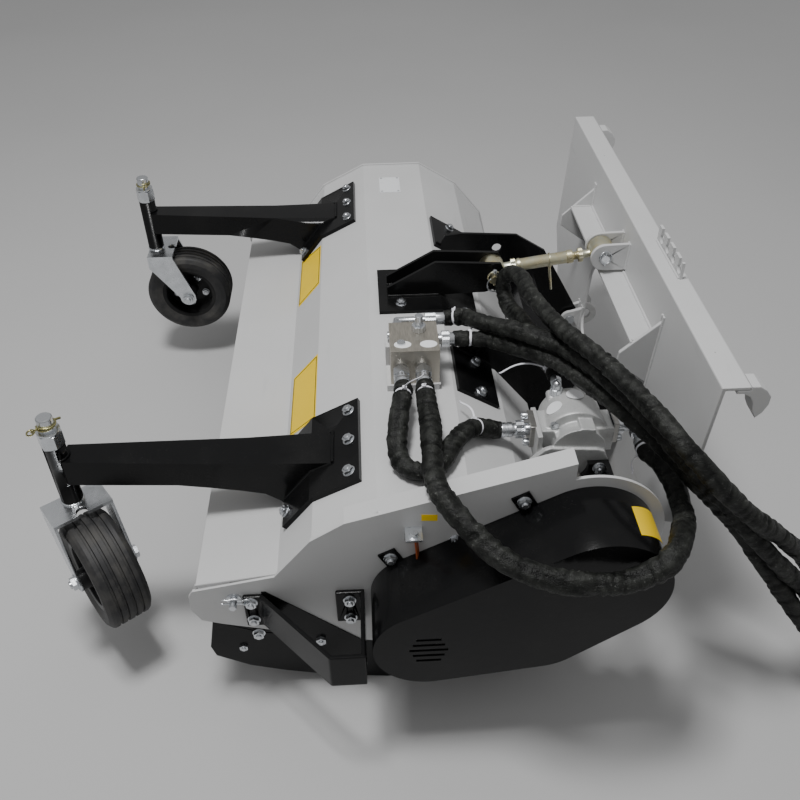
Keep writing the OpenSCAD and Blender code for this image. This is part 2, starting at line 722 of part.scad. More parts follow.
module bearing(side) mirror([side < 0 ? 1 : 0, 0, 0]) difference() {
    union() {
        slab(half_w, half_w + 10) difference() {
            polygon([for (i = [0:3]) [sin(45 + i * 90), cos(45 + i * 90)] * 74 + [0, rotor_z]]);
        }
        rod_x(half_w + 10, half_w + 26, 0, rotor_z, 36);
    }
    rod_x(half_w - 1, half_w + 27, 0, rotor_z, shaft_r + run_fit);
    for (b = bearing_bolts) rod_x(half_w - 1, half_w + 11, b[0], b[1], bolt_hole);
}
module near_bearing() at_origin() color(steel) bearing(1);
module far_bearing() at_origin() color(steel) bearing(-1);

rotor_half = 650;
lug_r = 92;
station_step = rotor_half * 2 / (stations + 1);
// Stations come in opposite pairs, each pair turned a little further, so the rotor stays in balance
module at_station(i) translate([-rotor_half + station_step * (i + 1), 0, rotor_z])
    rotate([i % 2 * 180 + floor(i / 2) * 360 / stations, 0, 0]) children();
module rotor_tube() at_origin() color(black) {
    difference() {
        union() {
            rod_x(-rotor_half, rotor_half, 0, rotor_z, rotor_r);
            for (i = [0:stations - 1]) at_station(i) for (x = [-17, 9]) difference() {
                slab(x, x + 8) union() {
                    polygon([[-24, 40], [24, 40], [14, lug_r], [-14, lug_r]]);
                    translate([0, lug_r]) circle(r = 14);
                }
                rod_x(x - 1, x + 9, 0, lug_r, bolt_r);
            }
        }
        rod_x(-rotor_half + 12, rotor_half - 12, 0, rotor_z, rotor_r - 8);
    }
    rod_x(-far_out + 4, -rotor_half, 0, rotor_z, shaft_r);
    rod_x(rotor_half, belt_x[2] + 14, 0, rotor_z, shaft_r);
}
module flail_bolts() at_origin() color(zinc) for (i = [0:stations - 1]) at_station(i) {
    rod_x(-17, 17, 0, lug_r, bolt_r);
    hex_x(17, 25, 0, lug_r, 10);
    hex_x(-25, -17, 0, lug_r, 10);
}
// Each flail is two bent blades that spread like a Y
blade_w = 34;
module flails() at_origin() color(steel) for (i = [0:stations - 1]) at_station(i) for (m = [0,
    1]) mirror([m, 0, 0])
    difference() {
        translate([0, blade_w / 2, 0]) rotate([90, 0, 0]) linear_extrude(blade_w) polygon([
            [0.3, lug_r - 14], [8.5, lug_r - 14], [8.5, 140], [24, flail_reach - 4],
            [17, flail_reach - 2], [0.3, 142]]);
        rod_x(-1, 10, 0, lug_r, bolt_r);
    }

// Flaps and rear roller

flap_t = 4;
module flap_rod() at_origin() color(zinc) {
    rod_x(-half_w - 18, half_w + 22, flap_y, flap_z, flap_rod_r);
    // washers and hairpin at the near end
    difference() {
        rod_x(half_w, half_w + 3, flap_y, flap_z, 14);
        rod_x(half_w, half_w + 4, flap_y, flap_z, flap_rod_r);
    }
    rod_y(flap_y - 16, flap_y + 17, half_w + 12, flap_z, 2);
}
module front_flap() at_origin() color(black) difference() {
    union() {
        rod_x(-in_x + 30, in_x - 30, flap_y, flap_z, 12);
        block([-in_x + 30, flap_y - flap_t / 2, 150], [in_x - 30, flap_y + flap_t / 2, flap_z]);
    }
    rod_x(-in_x, in_x, flap_y, flap_z, flap_rod_r + run_fit);
}
module rear_flap() at_origin() color(rubber)
    slab(-in_x + 60, in_x - 60) strip([p7 + unit([288, 252] - p7) * 40, [288, 252] + [2, -4], [300, 170]],
        5);

roller_y = 236;
roller_r = 62;
roller_in = 610;
module rear_roller() at_origin() color(black) {
    difference() {
        rod_x(-roller_in, roller_in, roller_y, roller_r, roller_r);
        rod_x(-roller_in + 10, roller_in - 10, roller_y, roller_r, roller_r - 6);
    }
    for (m = [0, 1]) mirror([m, 0, 0]) rod_x(roller_in, 632, roller_y, roller_r, 14);
}
module roller_hangers() at_origin() color(black) for (m = [0, 1]) mirror([m, 0, 0]) difference() {
    union() {
        slab(620, 630) union() {
            disc([roller_y, roller_r, 30], 0);
            polygon([[roller_y - 30, roller_r], [roller_y + 30, roller_r], [262, 200], [262, 236],
                [180, 236], [180, 200]]);
        }
        block([630, 180, 196], [in_x, 262, 204]);
        block([in_x - 6, 180, 204], [in_x, 262, 236]);
    }
    rod_x(619, 631, roller_y, roller_r, 14 + run_fit);
}

// Fasteners on the hood and on the plates

module hood_bolts() at_origin() color(zinc) {
    for (side = [-1, 1]) {
        arm_bolt_spots(side) bolt(arm_pad_t + skin_t + 6);
        bracket_bolt_spots(side) bolt(bracket_pad_t + skin_t + 6);
    }
    clevis_bolt_spots() bolt(bracket_pad_t + skin_t + 6);
    for (dy = [-ear_y, ear_y]) face_x(flange_x, drive_y + dy, drive_z) rotate([0, 180,
        0]) bolt(flange_t + mount_t);
}
module plate_bolts() at_origin() color(zinc) {
    for (b = bumper_bolts) face_x(half_w + 8, b[0], b[1]) bolt(14);
    for (b = skid_bolts) face_x(half_w, b[0], b[1]) bolt(14);
    for (b = skid_bolts) face_x(-half_w, b[0], b[1]) rotate([0, 180, 0]) bolt(14);
    for (t = guard_tabs) face_x(half_w + tab_t, t[0], t[1]) bolt(10);
    for (b = bearing_bolts) {
        face_x(half_w + 10, b[0], b[1]) bolt(16);
        face_x(-half_w - 10, b[0], b[1]) rotate([0, 180, 0]) bolt(16);
    }
}
module guard_latch() at_origin() color(zinc) {
    block([half_w, -34, 434], [half_w + 4, -4, 464]);
    block([half_w + 4, -34, 460], [half_w + 32, -4, 464]);
    rod_z(464, 472, half_w + 18, -19, 8);
}

// Turnbuckle between the clevis and the hitch

link_v = link_rear - link_front;
link_len = norm(link_v);
link_tilt = atan2(link_v[1], link_v[0]);
eye_out = 29;
eye_w = 20;
sleeve_r = 14;
screw_r = 9;
module link_place() translate([0, link_front[0], link_front[1]]) rotate([link_tilt, 0, 0]) children();
module eye(bore) difference() {
    rod_x(-eye_w, eye_w, 0, 0, eye_out);
    rod_x(-eye_w - 1, eye_w + 1, 0, 0, bore);
}
module turnbuckle_sleeve() at_origin() color(gold) link_place() {
    eye(link_pin_r + run_fit);
    rod_y(eye_out - 2, 54, 0, 0, screw_r + 2);
    hex_y(44, 54, 0, 0, 17);
    difference() {
        rod_y(54, 186, 0, 0, sleeve_r);
        rod_y(110, 187, 0, 0, screw_r + run_fit);
    }
    // thin handle that hangs from the sleeve
    translate([0, 132, -80]) cylinder(h = 68, r = 3);
    translate([0, 132, -15]) sphere(r = 5);
}
module turnbuckle_eye() at_origin() color(gold) link_place() {
    translate([0, link_len, 0]) eye(link_pin_r + loose);
    rod_y(130, link_len - eye_out + 2, 0, 0, screw_r);
    hex_y(198, 208, 0, 0, 16);
}

// Hitch frame: folded plate, gussets, shelf, ears and lugs

hitch_foot = [492, 110];
hitch_knee = [521, hitch_top - hitch_t];
hitch_lip = [565, hitch_top - hitch_t];
hitch_ear_r = 32;
lug_gap = 6;
lug_t = 10;
lug_in = web_x - lug_gap - lug_t;
lug_out = web_x + web_t + lug_gap + lug_t;
module hitch_window() {
    w = 200;
    low = 232;
    high = 446;
    r = 55;
    for (x = [-w + r, w - r]) for (z = [low + r, high - r]) rod_y(470, 540, x, z, r);
    block([-w + r, 470, low], [w - r, 540, high]);
    block([-w, 470, low + r], [w, 540, high - r]);
}
module hitch_profile() strip([hitch_foot, hitch_knee, hitch_lip], hitch_t);
module both_sides() for (m = [0, 1]) mirror([m, 0, 0]) children();
module hitch_frame() at_origin() color(hood_grey) difference() {
    slab(-hitch_w, hitch_w) hitch_profile();
    hitch_window();
    // lower corners cut back
    both_sides() translate([0, 600, 0]) rotate([90, 0, 0]) linear_extrude(150)
        polygon([[hitch_w + 1, 100], [hitch_w + 1, 330], [hitch_w - 90, 240], [hitch_w - 150, 100]]);
}

// The plate with everything behind it, for trimming what is welded to its front
module behind_plate() {
    slab(-hitch_w, hitch_w) polygon([hitch_foot - [4, 0], hitch_knee - [4, 0], [600, 657], [600, 110]]);
    slab(-hitch_w, hitch_w) hitch_profile();
}
// The plate with everything in front of it, for trimming what is welded to its rear
module before_plate() {
    slab(-hitch_w, hitch_w) polygon([[400, 80], hitch_foot - [4, 30], hitch_foot - [4, 0],
        hitch_knee - [4, 0], [400, 657]]);
    slab(-hitch_w, hitch_w) hitch_profile();
}

// Gussets and the shelf between them
module hitch_gussets() at_origin() color(hood_grey) difference() {
    union() {
        for (x = [-304, 296]) slab(x, x + 8) polygon([[524, 612], [432, 524], [430, 497], [516, 432]]);
        block([-300, 452, 541], [300, 524, 549]);
    }
    behind_plate();
}

// Ears of the top link
module link_ears() at_origin() color(hood_grey) difference() {
    both_sides() slab(eye_w + 3, eye_w + 12) difference() {
        union() {
            disc([link_rear[0], link_rear[1], hitch_ear_r], 0);
            polygon([link_rear + [0, hitch_ear_r], [524, 622], [520, 556], link_rear + [0, -hitch_ear_r]]);
        }
        disc([link_rear[0], link_rear[1], link_pin_r], 0);
    }
    behind_plate();
    block([-300, 452, 541], [300, 524, 549]);
}

// Lugs of the lower pivots, a pair round each bracket's web
module pivot_lugs() at_origin() color(hood_grey) difference() {
    both_sides() for (x = [lug_in, lug_out - lug_t]) slab(x, x + lug_t) difference() {
        union() {
            disc([pivot_y, pivot_z, 24], 0);
            polygon([[pivot_y, pivot_z + 24], [516, pivot_z + 40], [512, pivot_z - 40],
                [pivot_y, pivot_z - 24]]);
        }
        disc([pivot_y, pivot_z, pivot_r], 0);
    }
    behind_plate();
}

// Locking eyes low on the rear face
lock_eye = [540, 190];
lock_r = 16;
module lock_eyes() at_origin() color(hood_grey) difference() {
    both_sides() for (x = [330, 390]) slab(x, x + 12) difference() {
        union() {
            disc([lock_eye[0], lock_eye[1], 34], 0);
            polygon([[540, 224], [488, 240], [484, 140], [540, 156]]);
        }
        disc([lock_eye[0], lock_eye[1], lock_r], 0);
    }
    before_plate();
}

// Hooks at the rear edge of the top flange, open downwards
hook_t = 38;
hook_spots = [hitch_w - hook_t, -hitch_w + 62];
module hitch_hooks() at_origin() color(hood_grey) for (x = hook_spots) slab(x, x + hook_t) polygon([
    [541, hitch_top - hitch_t], [565, hitch_top - hitch_t], [565, hitch_top], [580, hitch_top], [593, 656],
    [hook_out, 641], [hook_out, 624], [597, 606], [586, 594], [578, 610], [574, 629], [566, 643],
    [553, 650], [541, 650]]);

// Comb that parks the hoses' couplers on the top flange
comb_x = 120;
comb_step = 40;
module coupler_comb() at_origin() color(hood_grey) difference() {
    block([comb_x - 26, 544, hitch_top], [comb_x + 3 * comb_step + 14, 550, hitch_top + 37]);
    for (i = [0:3]) {
        rod_y(543, 551, comb_x + i * comb_step, hitch_top + 17, 10);
        block([comb_x + i * comb_step - 8, 543, hitch_top + 17],
            [comb_x + i * comb_step + 8, 551, hitch_top + 38]);
    }
}

// Pins that ride on the hitch: the top link's pin and the two lower pivots
module hitch_pins() at_origin() color(zinc) {
    rod_x(-44, 40, link_rear[0], link_rear[1], link_pin_r);
    rod_x(-50, -44, link_rear[0], link_rear[1], 15);
    for (m = [0, 1]) mirror([m, 0, 0]) {
        rod_x(lug_in - 6, lug_out, pivot_y, pivot_z, pivot_r);
        rod_x(lug_out, lug_out + 6, pivot_y, pivot_z, 18);
    }
}

// Hoses: a tube swept along its route, a ring every few diameters

// Routes in millimetres in the drawing frame, from the fitting to the far end
pressure_route = [[240, 74, 583], [240, 92, 584], [252, 118, 592], [287, 145, 603], [339, 213, 614],
    [396, 281, 616],
    [478, 339, 612], [566, 393, 595], [628, 428, 577], [664, 460, 553], [692, 498, 517], [710, 543, 470],
    [729, 596, 410], [735, 646, 353], [732, 702, 291], [731, 760, 222], [726, 824, 150], [722, 890, 86],
    [718, 960, 42], [712, 1030, 21], [704, 1100, 17], [692, 1170, 17], [676, 1240, 17], [656, 1306, 17]];
return_route = [[297, 89, 572], [297, 106, 572], [306, 161, 571], [343, 215, 576], [405, 283, 580],
    [488, 342, 572], [558, 401, 552], [606, 444, 528], [636, 481, 496], [659, 522, 458], [677, 570, 408],
    [708, 621, 342], [728, 668, 280], [752, 715, 216], [764, 764, 156], [776, 820, 98], [786, 884, 50],
    [794, 950, 25], [798, 1020, 17], [798, 1090, 17], [794, 1160, 17], [786, 1230, 17], [774, 1296, 17]];
drain_route = [[398, 278, 541], [374, 278, 541], [330, 270, 539], [278, 262, 540], [221, 254, 541],
    [176, 246, 534], [138, 238, 522], [106, 230, 522], [82, 224, 536], [74, 222, 564], [86, 229, 588],
    [124, 239, 611], [180, 246, 627], [247, 249, 634], [384, 279, 652], [488, 331, 654], [592, 376, 649],
    [662, 405, 641], [707, 432, 622], [735, 468, 589], [744, 515, 538], [743, 573, 481], [724, 632, 420],
    [703, 697, 348], [690, 756, 266], [682, 812, 190], [672, 872, 118], [660, 936, 63], [646, 1000, 30],
    [630, 1066, 18], [610, 1130, 17], [586, 1192, 17], [558, 1250, 17]];
feed_route = [[418, -22, 552], [440, -22, 552], [500, -32, 546], [546, -39, 532], [580, -38, 521],
    [606, -26, 517], [618, 2, 517], [607, 30, 517], [580, 48, 518], [548, 66, 519], [518, 88, 517],
    [494, 112, 506], [480, 134, 490], [474, 151, 480], [474, 165, 478]];
back_route = [[418, 21, 552], [480, 21, 553], [560, 22, 555], [640, 18, 555], [700, 24, 552],
    [760, 56, 542], [812, 97, 527], [842, 143, 512], [863, 202, 504], [868, 260, 499], [864, 308, 496],
    [857, 344, 502], [847, 378, 523], [808, 407, 521], [764, 430, 494], [716, 452, 467], [664, 464, 453],
    [618, 465, 458], [580, 452, 469], [560, 436, 476], [548, 428, 478], [536, 427, 478]];

pressure_d = 32;
return_d = 32;
drain_d = 32;
feed_d = 34;
back_d = 36;

// A smooth point on the route between its points i and i + 1
function along(p, i, t) = let (
        a = p[max(i - 1, 0)], b = p[i], c = p[i + 1], d = p[min(i + 2, len(p) - 1)]
    )
    0.5 * (2 * b + (c - a) * t + (2 * a - 5 * b + 4 * c - d) * t * t + (3 * b - a - 3 * c + d) * t * t * t);
function route_point(p, u) = let (i = min(floor(u), len(p) - 2)) along(p, i, u - i);
// A direction square to the run and as level as can be
function level(v) = abs(v[2]) > 0.95 * norm(v) ? unit(cross(v, [0, 1, 0])) : unit(cross(v, [0, 0, 1]));

module hose(p, d, rings, sides = 8) {
    last = len(p) - 1;
    rows = [for (k = [0:rings - 1]) let (
            u = last * k / (rings - 1),
            here = route_point(p, u),
            run = k == 0 ? p[1] - p[0]
                : k == rings - 1 ? p[last] - p[last - 1]
                : route_point(p, min(u + 0.05, last)) - route_point(p, max(u - 0.05, 0)),
            s = level(run),
            w = unit(cross(s, run))
        )
        [for (j = [0:sides - 1]) here + (s * cos(360 * j / sides) + w * sin(360 * j / sides)) * d / 2]];
    points = [for (row = rows) for (q = row) q];
    walls = [for (k = [0:rings - 2]) for (j = [0:sides - 1]) let (
            a = k * sides + j, b = k * sides + (j + 1) % sides
        )
        each [[a, b, b + sides], [a, b + sides, a + sides]]];
    caps = [[for (j = [sides - 1:-1:0]) j], [for (j = [0:sides - 1]) (rings - 1) * sides + j]];
    polyhedron(points, concat(walls, caps));
}

module pressure_hose() at_origin() color(sleeve) hose(pressure_route, pressure_d, 16);
module return_hose() at_origin() color(sleeve) hose(return_route, return_d, 15);
module drain_hose() at_origin() color(sleeve) hose(drain_route, drain_d, 22);
module motor_feed_hose() at_origin() color(sleeve) hose(feed_route, feed_d, 13);
module motor_return_hose() at_origin() color(sleeve) hose(back_route, back_d, 15);

// Quick couplers on the three loose ends, each along its hose's last stretch
coupler_ends = [[pressure_route, 15], [return_route, 15], [drain_route, 13]];
module hose_couplers() at_origin() color(zinc) for (c = coupler_ends) {
    p = c[0];
    tip = p[len(p) - 1];
    run = tip - p[len(p) - 2];
    translate(tip) rotate([0, 90, atan2(run[1], run[0])]) {
        cylinder(h = 30, r = c[1] - 2);
        translate([0, 0, 30]) cylinder(h = 22, r = c[1], $fn = 6);
        translate([0, 0, 52]) cylinder(h = 34, r = c[1] - 1);
        translate([0, 0, 86]) cylinder(h = 12, r = c[1] - 4);
    }
}

hood_shell();
near_end_plate();
far_end_plate();
near_skid();
far_skid();
bumper_guard();
near_caster_arm();
far_caster_arm();
link_clevis();
near_rear_bracket();
far_rear_bracket();
rear_cross_tube();
motor_mount();
motor_housing();
motor_fittings();
valve_bracket();
valve_block();
valve_fittings();
belt_guard();
drive_belts();
tensioner_arm();
near_bearing();
far_bearing();
flap_rod();
rear_flap();
roller_hangers();
front_link_pin();
hood_bolts();
plate_bolts();
guard_latch();
rotor_tube();
flails();
flail_bolts();
rotor_pulley();
motor_shaft();
motor_pulley();
idler_roller();
rear_roller();
front_flap();
near_caster_fork();
far_caster_fork();
near_stem_collar();
far_stem_collar();
near_wheel_rim();
far_wheel_rim();
near_tyre();
far_tyre();
turnbuckle_sleeve();
turnbuckle_eye();
hitch_frame();
hitch_gussets();
link_ears();
pivot_lugs();
lock_eyes();
hitch_hooks();
coupler_comb();
hitch_pins();
pressure_hose();
return_hose();
drain_hose();
motor_feed_hose();
motor_return_hose();
hose_couplers();
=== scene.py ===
"""Flail mower with a loader quick-hitch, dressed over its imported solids.

Places are written in millimetres of the drawing frame, where the rotor's axis is at y = 0,
and turned into metres of the shared frame when a piece is cast.
"""

import logging
import math
import random
from collections.abc import Callable, Iterable, Sequence
from dataclasses import dataclass, field
from enum import Enum

import bmesh
import bpy
from mathutils import Matrix, Vector

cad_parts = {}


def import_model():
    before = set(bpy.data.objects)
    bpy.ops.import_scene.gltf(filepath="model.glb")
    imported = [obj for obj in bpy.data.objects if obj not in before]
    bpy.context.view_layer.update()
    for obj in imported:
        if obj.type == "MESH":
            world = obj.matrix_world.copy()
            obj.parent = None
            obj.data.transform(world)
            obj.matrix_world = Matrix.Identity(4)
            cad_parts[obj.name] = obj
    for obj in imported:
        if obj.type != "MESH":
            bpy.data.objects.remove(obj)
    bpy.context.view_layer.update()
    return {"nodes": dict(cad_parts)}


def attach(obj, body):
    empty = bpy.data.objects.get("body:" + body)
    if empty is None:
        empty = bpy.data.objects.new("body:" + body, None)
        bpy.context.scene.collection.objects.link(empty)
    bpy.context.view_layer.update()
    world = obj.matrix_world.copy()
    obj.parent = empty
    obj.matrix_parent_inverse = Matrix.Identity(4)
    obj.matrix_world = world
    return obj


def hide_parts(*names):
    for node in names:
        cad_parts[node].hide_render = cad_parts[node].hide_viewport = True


log = logging.getLogger("mower")

Colour = tuple[float, float, float]
Place = tuple[float, float, float]
Outline = Sequence[tuple[float, float]]

# Middle of the footprint in the drawing frame
FRAME_SHIFT = Vector((60.0, -66.56057710188071, 0.0))
MM_PER_M = 1000.0
# Folds of the hood from the front lip to the rear lip, as y and z
FOLDS = [(-426, 296), (-418, 325), (-267, 347), (-198, 436), (-80, 497), (84, 497), (190, 431), (270, 332),
         (288, 252)]
FRONT_SLOPE, UPPER_SLOPE, REAR_SLOPE = 2, 3, 5
TOP_Z = 497.0
ROTOR_Z = 290.0
ARM_X = 490.0
STEM_X, STEM_Y = 495.0, -678.0
HOOD_SIDE = 700.0
ACROSS = (1, 0, 0)
REARWARDS = (0, 1, 0)
UPWARDS = (0, 0, 1)


def metres(point: Sequence[float]) -> Vector:
    """Turn a place of the drawing frame into metres of the shared frame."""
    return (Vector(point) - FRAME_SHIFT) / MM_PER_M


def around(count: int, start: float = 0.0, step: float | None = None) -> list[float]:
    """Give angles in radians: a full turn in equal parts, or steps in degrees from a start."""
    if step is None:
        return [math.tau * i / count for i in range(count)]
    return [math.radians(start + step * i) for i in range(count)]


def in_scene(name: str, data: bpy.types.ID) -> bpy.types.Object:
    """Put a new object with this data into the scene."""
    made = bpy.data.objects.new(name, data)
    bpy.context.scene.collection.objects.link(made)
    return made


class Signal:
    """One output of a shader node that takes part in arithmetic."""

    def __init__(self, net: "Net", socket: bpy.types.NodeSocket) -> None:
        """Keep the net and the socket that carries the value."""
        self.net = net
        self.socket = socket

    def __add__(self, other: "float | Signal") -> "Signal":
        """Add a number or a signal."""
        return self.net.sum_up("ADD", self, other)

    __radd__ = __add__

    def __mul__(self, other: "float | Signal") -> "Signal":
        """Multiply by a number or a signal."""
        return self.net.sum_up("MULTIPLY", self, other)

    __rmul__ = __mul__

    def __sub__(self, other: "float | Signal") -> "Signal":
        """Take a number or a signal away."""
        return self.net.sum_up("SUBTRACT", self, other)

    def __rsub__(self, other: "float | Signal") -> "Signal":
        """Take this signal away from a number or a signal."""
        return self.net.sum_up("SUBTRACT", other, self)


Value = float | int | Colour | Signal


class Net:
    """The node tree of one material, grown by expressions."""

    def __init__(self, name: str) -> None:
        """Start an empty material.

        Args:
            name: The material's name.
        """
        self.material = bpy.data.materials.new(name)
        self.material.use_nodes = True
        self.tree = self.material.node_tree
        self.tree.nodes.clear()

    def grow(self, kind: str, settings: dict[str, object], feeds: dict[int | str, object]) -> bpy.types.Node:
        """Add a node.

        Args:
            kind: The node's type.
            settings: Its properties, set first.
            feeds: Values or signals of its input sockets.

        Returns:
            The new node.
        """
        node = self.tree.nodes.new("ShaderNode" + kind)
        for key, value in settings.items():
            setattr(node, key, value)
        for key, value in feeds.items():
            self.feed(node.inputs[key], value)
        return node

    def feed(self, socket: bpy.types.NodeSocket, value: object) -> None:
        """Link a signal to a socket, or set the socket's own value."""
        if isinstance(value, Signal):
            self.tree.links.new(value.socket, socket)
        elif socket.type == "RGBA":
            socket.default_value = (*value, 1.0)
        else:
            socket.default_value = value

    def sum_up(self, kind: str, first: "float | Signal", second: "float | Signal") -> Signal:
        """Join two values with one operation of arithmetic."""
        return Signal(self, self.grow("Math", {"operation": kind}, {0: first, 1: second}).outputs[0])

    def blend(self, share: "float | Signal", first: Value, second: Value) -> Signal:
        """Mix two colours, the second coming in as the share rises."""
        node = self.grow("Mix", {"data_type": "RGBA"}, {0: share, 6: first, 7: second})
        return Signal(self, node.outputs[2])

    def spot(self, stretch: Place = (1.0, 1.0, 1.0)) -> Signal:
        """Give the place on the object, stretched along its axes."""
        here = Signal(self, self.grow("TexCoord", {}, {}).outputs["Object"])
        node = self.grow("VectorMath", {"operation": "MULTIPLY"}, {0: here, 1: stretch})
        return Signal(self, node.outputs[0])

    def height(self) -> Signal:
        """Give the height above the ground at rest, in metres."""
        return Signal(self, self.grow("SeparateXYZ", {}, {0: self.spot()}).outputs[2])

    def clouds(self, scale: float, detail: float = 3.0, stretch: Place = (1.0, 1.0, 1.0)) -> Signal:
        """Give soft noise between 0 and 1.

        Args:
            scale: Features per metre.
            detail: Octaves of finer noise.
            stretch: How much closer the features lie along each axis.

        Returns:
            The noise.
        """
        feeds = {"Vector": self.spot(stretch), "Scale": scale, "Detail": detail, "Roughness": 0.55}
        return Signal(self, self.grow("TexNoise", {}, feeds).outputs[0])

    def cells(self, scale: float, stretch: Place = (1.0, 1.0, 1.0)) -> Signal:
        """Give the distance to the nearest of scattered points."""
        return Signal(self, self.grow("TexVoronoi", {}, {"Vector": self.spot(stretch), "Scale": scale}).outputs[0])

    def noted(self, name: str) -> Signal:
        """Give a value that the mesh keeps at its points under a name."""
        return Signal(self, self.grow("Attribute", {"attribute_name": name}, {}).outputs["Fac"])

    def window(self, signal: Signal, low: float, high: float, start: float = 0.0, end: float = 1.0) -> Signal:
        """Map a signal's range from low to high onto start to end, and hold it there."""
        node = self.grow("MapRange", {"clamp": True}, {0: signal, 1: low, 2: high, 3: start, 4: end})
        return Signal(self, node.outputs[0])

    def relief(self, height: Signal, depth: float, strength: float = 1.0) -> Signal:
        """Turn a height signal into a normal.

        Args:
            height: The surface's height from 0 to 1.
            depth: What 1 stands for, in metres.
            strength: How much of it shows.

        Returns:
            The normal for a shader.
        """
        node = self.grow("Bump", {}, {"Height": height, "Distance": depth, "Strength": strength})
        return Signal(self, node.outputs[0])

    def close(self, feeds: dict[int | str, object]) -> bpy.types.Material:
        """End the tree in a surface shader with these inputs."""
        shader = self.grow("BsdfPrincipled", {}, feeds)
        self.grow("OutputMaterial", {}, {0: Signal(self, shader.outputs[0])})
        return self.material


@dataclass(frozen=True)
class Finish:
    """What a surface is made of.

    Attributes:
        name: The material's name.
        slot: The record's material slot; not used.
        colour: Its main colour, linear.
        roughness: Its mean roughness.
    """

    name: str
    slot: str
    colour: Colour
    roughness: float

    def shade(self, times: float) -> Colour:
        """Give the main colour, lighter or darker."""
        return tuple(min(1.0, c * times) for c in self.colour)

    def varied(self, net: Net, signal: Signal, low: float, high: float, less: float, more: float) -> Signal:
        """Let the roughness swing about its mean as a signal runs from low to high."""
        return net.window(signal, low, high, self.roughness + less, self.roughness + more)

    def inputs(self, net: Net) -> dict[int | str, object]:
        """Give the surface shader's inputs; each kind of finish has its own."""
        raise NotImplementedError

    def material(self) -> bpy.types.Material:
        """Give the finish's material, made once."""
        known = bpy.data.materials.get(self.name)
        if known is not None:
            return known
        net = Net(self.name)
        return net.close(self.inputs(net))


@dataclass(frozen=True)
class SatinPaint(Finish):
    """Sprayed grey paint with orange peel, handling marks and dust low down."""

    def inputs(self, net: Net) -> dict[int | str, object]:
        """Mottle the paint and let dust gather towards the ground."""
        mottle = net.clouds(4.0, 5.0)
        dust = net.window(net.height(), 0.32, 0.0, 0.0, 0.5) * net.window(net.clouds(11.0, 6.0), 0.45, 0.75)
        marks = net.window(net.clouds(9.0, 8.0, (0.6, 3.5, 3.5)), 0.66, 0.74)
        chips = net.window(net.cells(26.0), 0.045, 0.03) * net.window(net.clouds(5.0), 0.58, 0.62)
        paint = net.blend(net.window(mottle, 0.3, 0.7), self.shade(0.965), self.shade(1.025))
        worn = net.blend(marks * 0.22, paint, self.shade(0.78))
        dusty = net.blend(dust, worn, (0.46, 0.42, 0.36))
        return {
            "Base Color": net.blend(chips * 0.8, dusty, (0.2, 0.2, 0.2)),
            "Roughness": self.varied(net, mottle, 0.3, 0.7, -0.05, 0.05) + dust * 0.3 + marks * 0.12,
            "Specular IOR Level": 0.3,
            "Normal": net.relief(net.clouds(330.0, 2.0) + net.clouds(45.0, 2.0) * 2.0, 0.00025, 0.5),
        }


@dataclass(frozen=True)
class PowderCoat(Finish):
    """Black powder coat, glossy, with a film of dust and wiped marks."""

    dust: float = 0.5

    def inputs(self, net: Net) -> dict[int | str, object]:
        """Lay dust specks and wiped patches over the gloss."""
        film = net.window(net.clouds(7.0, 6.0), 0.48, 0.78) * self.dust
        specks = net.window(net.cells(210.0), 0.16, 0.08) * net.window(net.clouds(14.0), 0.42, 0.6) * self.dust
        scuffs = net.window(net.clouds(16.0, 8.0, (0.5, 3.0, 3.0)), 0.68, 0.74) * self.dust
        base = net.blend(film * 0.35 + scuffs * 0.25, self.colour, (0.085, 0.083, 0.078))
        return {
            "Base Color": net.blend(specks * 0.45, base, (0.2, 0.19, 0.18)),
            "Roughness": self.roughness + film * 0.28 + specks * 0.25 + scuffs * 0.2,
            "Specular IOR Level": 0.16,
            "Coat Weight": 0.04,
            "Coat Roughness": 0.1,
            "Normal": net.relief(net.clouds(260.0, 2.0) + net.clouds(38.0, 2.0) * 1.5, 0.00028, 0.55),
        }


@dataclass(frozen=True)
class Plating(Finish):
    """Zinc plate: bright metal with cloudy passivation and fine handling marks."""

    tint: Colour = (0.62, 0.64, 0.66)

    def inputs(self, net: Net) -> dict[int | str, object]:
        """Cloud the plate between its two tints and dull it where it was handled."""
        clouded = net.window(net.clouds(38.0, 5.0), 0.32, 0.68)
        dull = net.window(net.clouds(90.0, 4.0), 0.55, 0.75)
        marks = net.window(net.clouds(60.0, 8.0, (0.5, 3.0, 3.0)), 0.6, 0.75)
        return {
            "Base Color": net.blend(dull * 0.35, net.blend(clouded, self.colour, self.tint), self.shade(0.55)),
            "Metallic": 1.0 - dull * 0.15,
            "Roughness": self.varied(net, clouded, 0.0, 1.0, -0.05, 0.07) + marks * 0.12,
            "Normal": net.relief(net.clouds(420.0, 3.0) + marks * 0.5, 0.00018, 0.5),
        }


@dataclass(frozen=True)
class CastAluminium(Finish):
    """Sand-cast aluminium with a grainy skin and dirt in its low spots."""

    def inputs(self, net: Net) -> dict[int | str, object]:
        """Give the skin its grain and settle grey dirt in it."""
        grain = net.clouds(520.0, 4.0)
        pits = net.window(net.cells(330.0), 0.3, 0.1)
        dirt = net.window(net.clouds(30.0, 6.0), 0.52, 0.75)
        bright = net.blend(net.window(grain, 0.35, 0.65), self.shade(0.86), self.colour)
        return {
            "Base Color": net.blend(dirt * 0.45, bright, (0.3, 0.29, 0.27)),
            "Metallic": 0.5 - dirt * 0.3,
            "Roughness": self.roughness + dirt * 0.2 + grain * 0.12,
            "Normal": net.relief(grain * 0.8 - pits * 0.6 + net.clouds(70.0, 3.0), 0.0006, 0.6),
        }


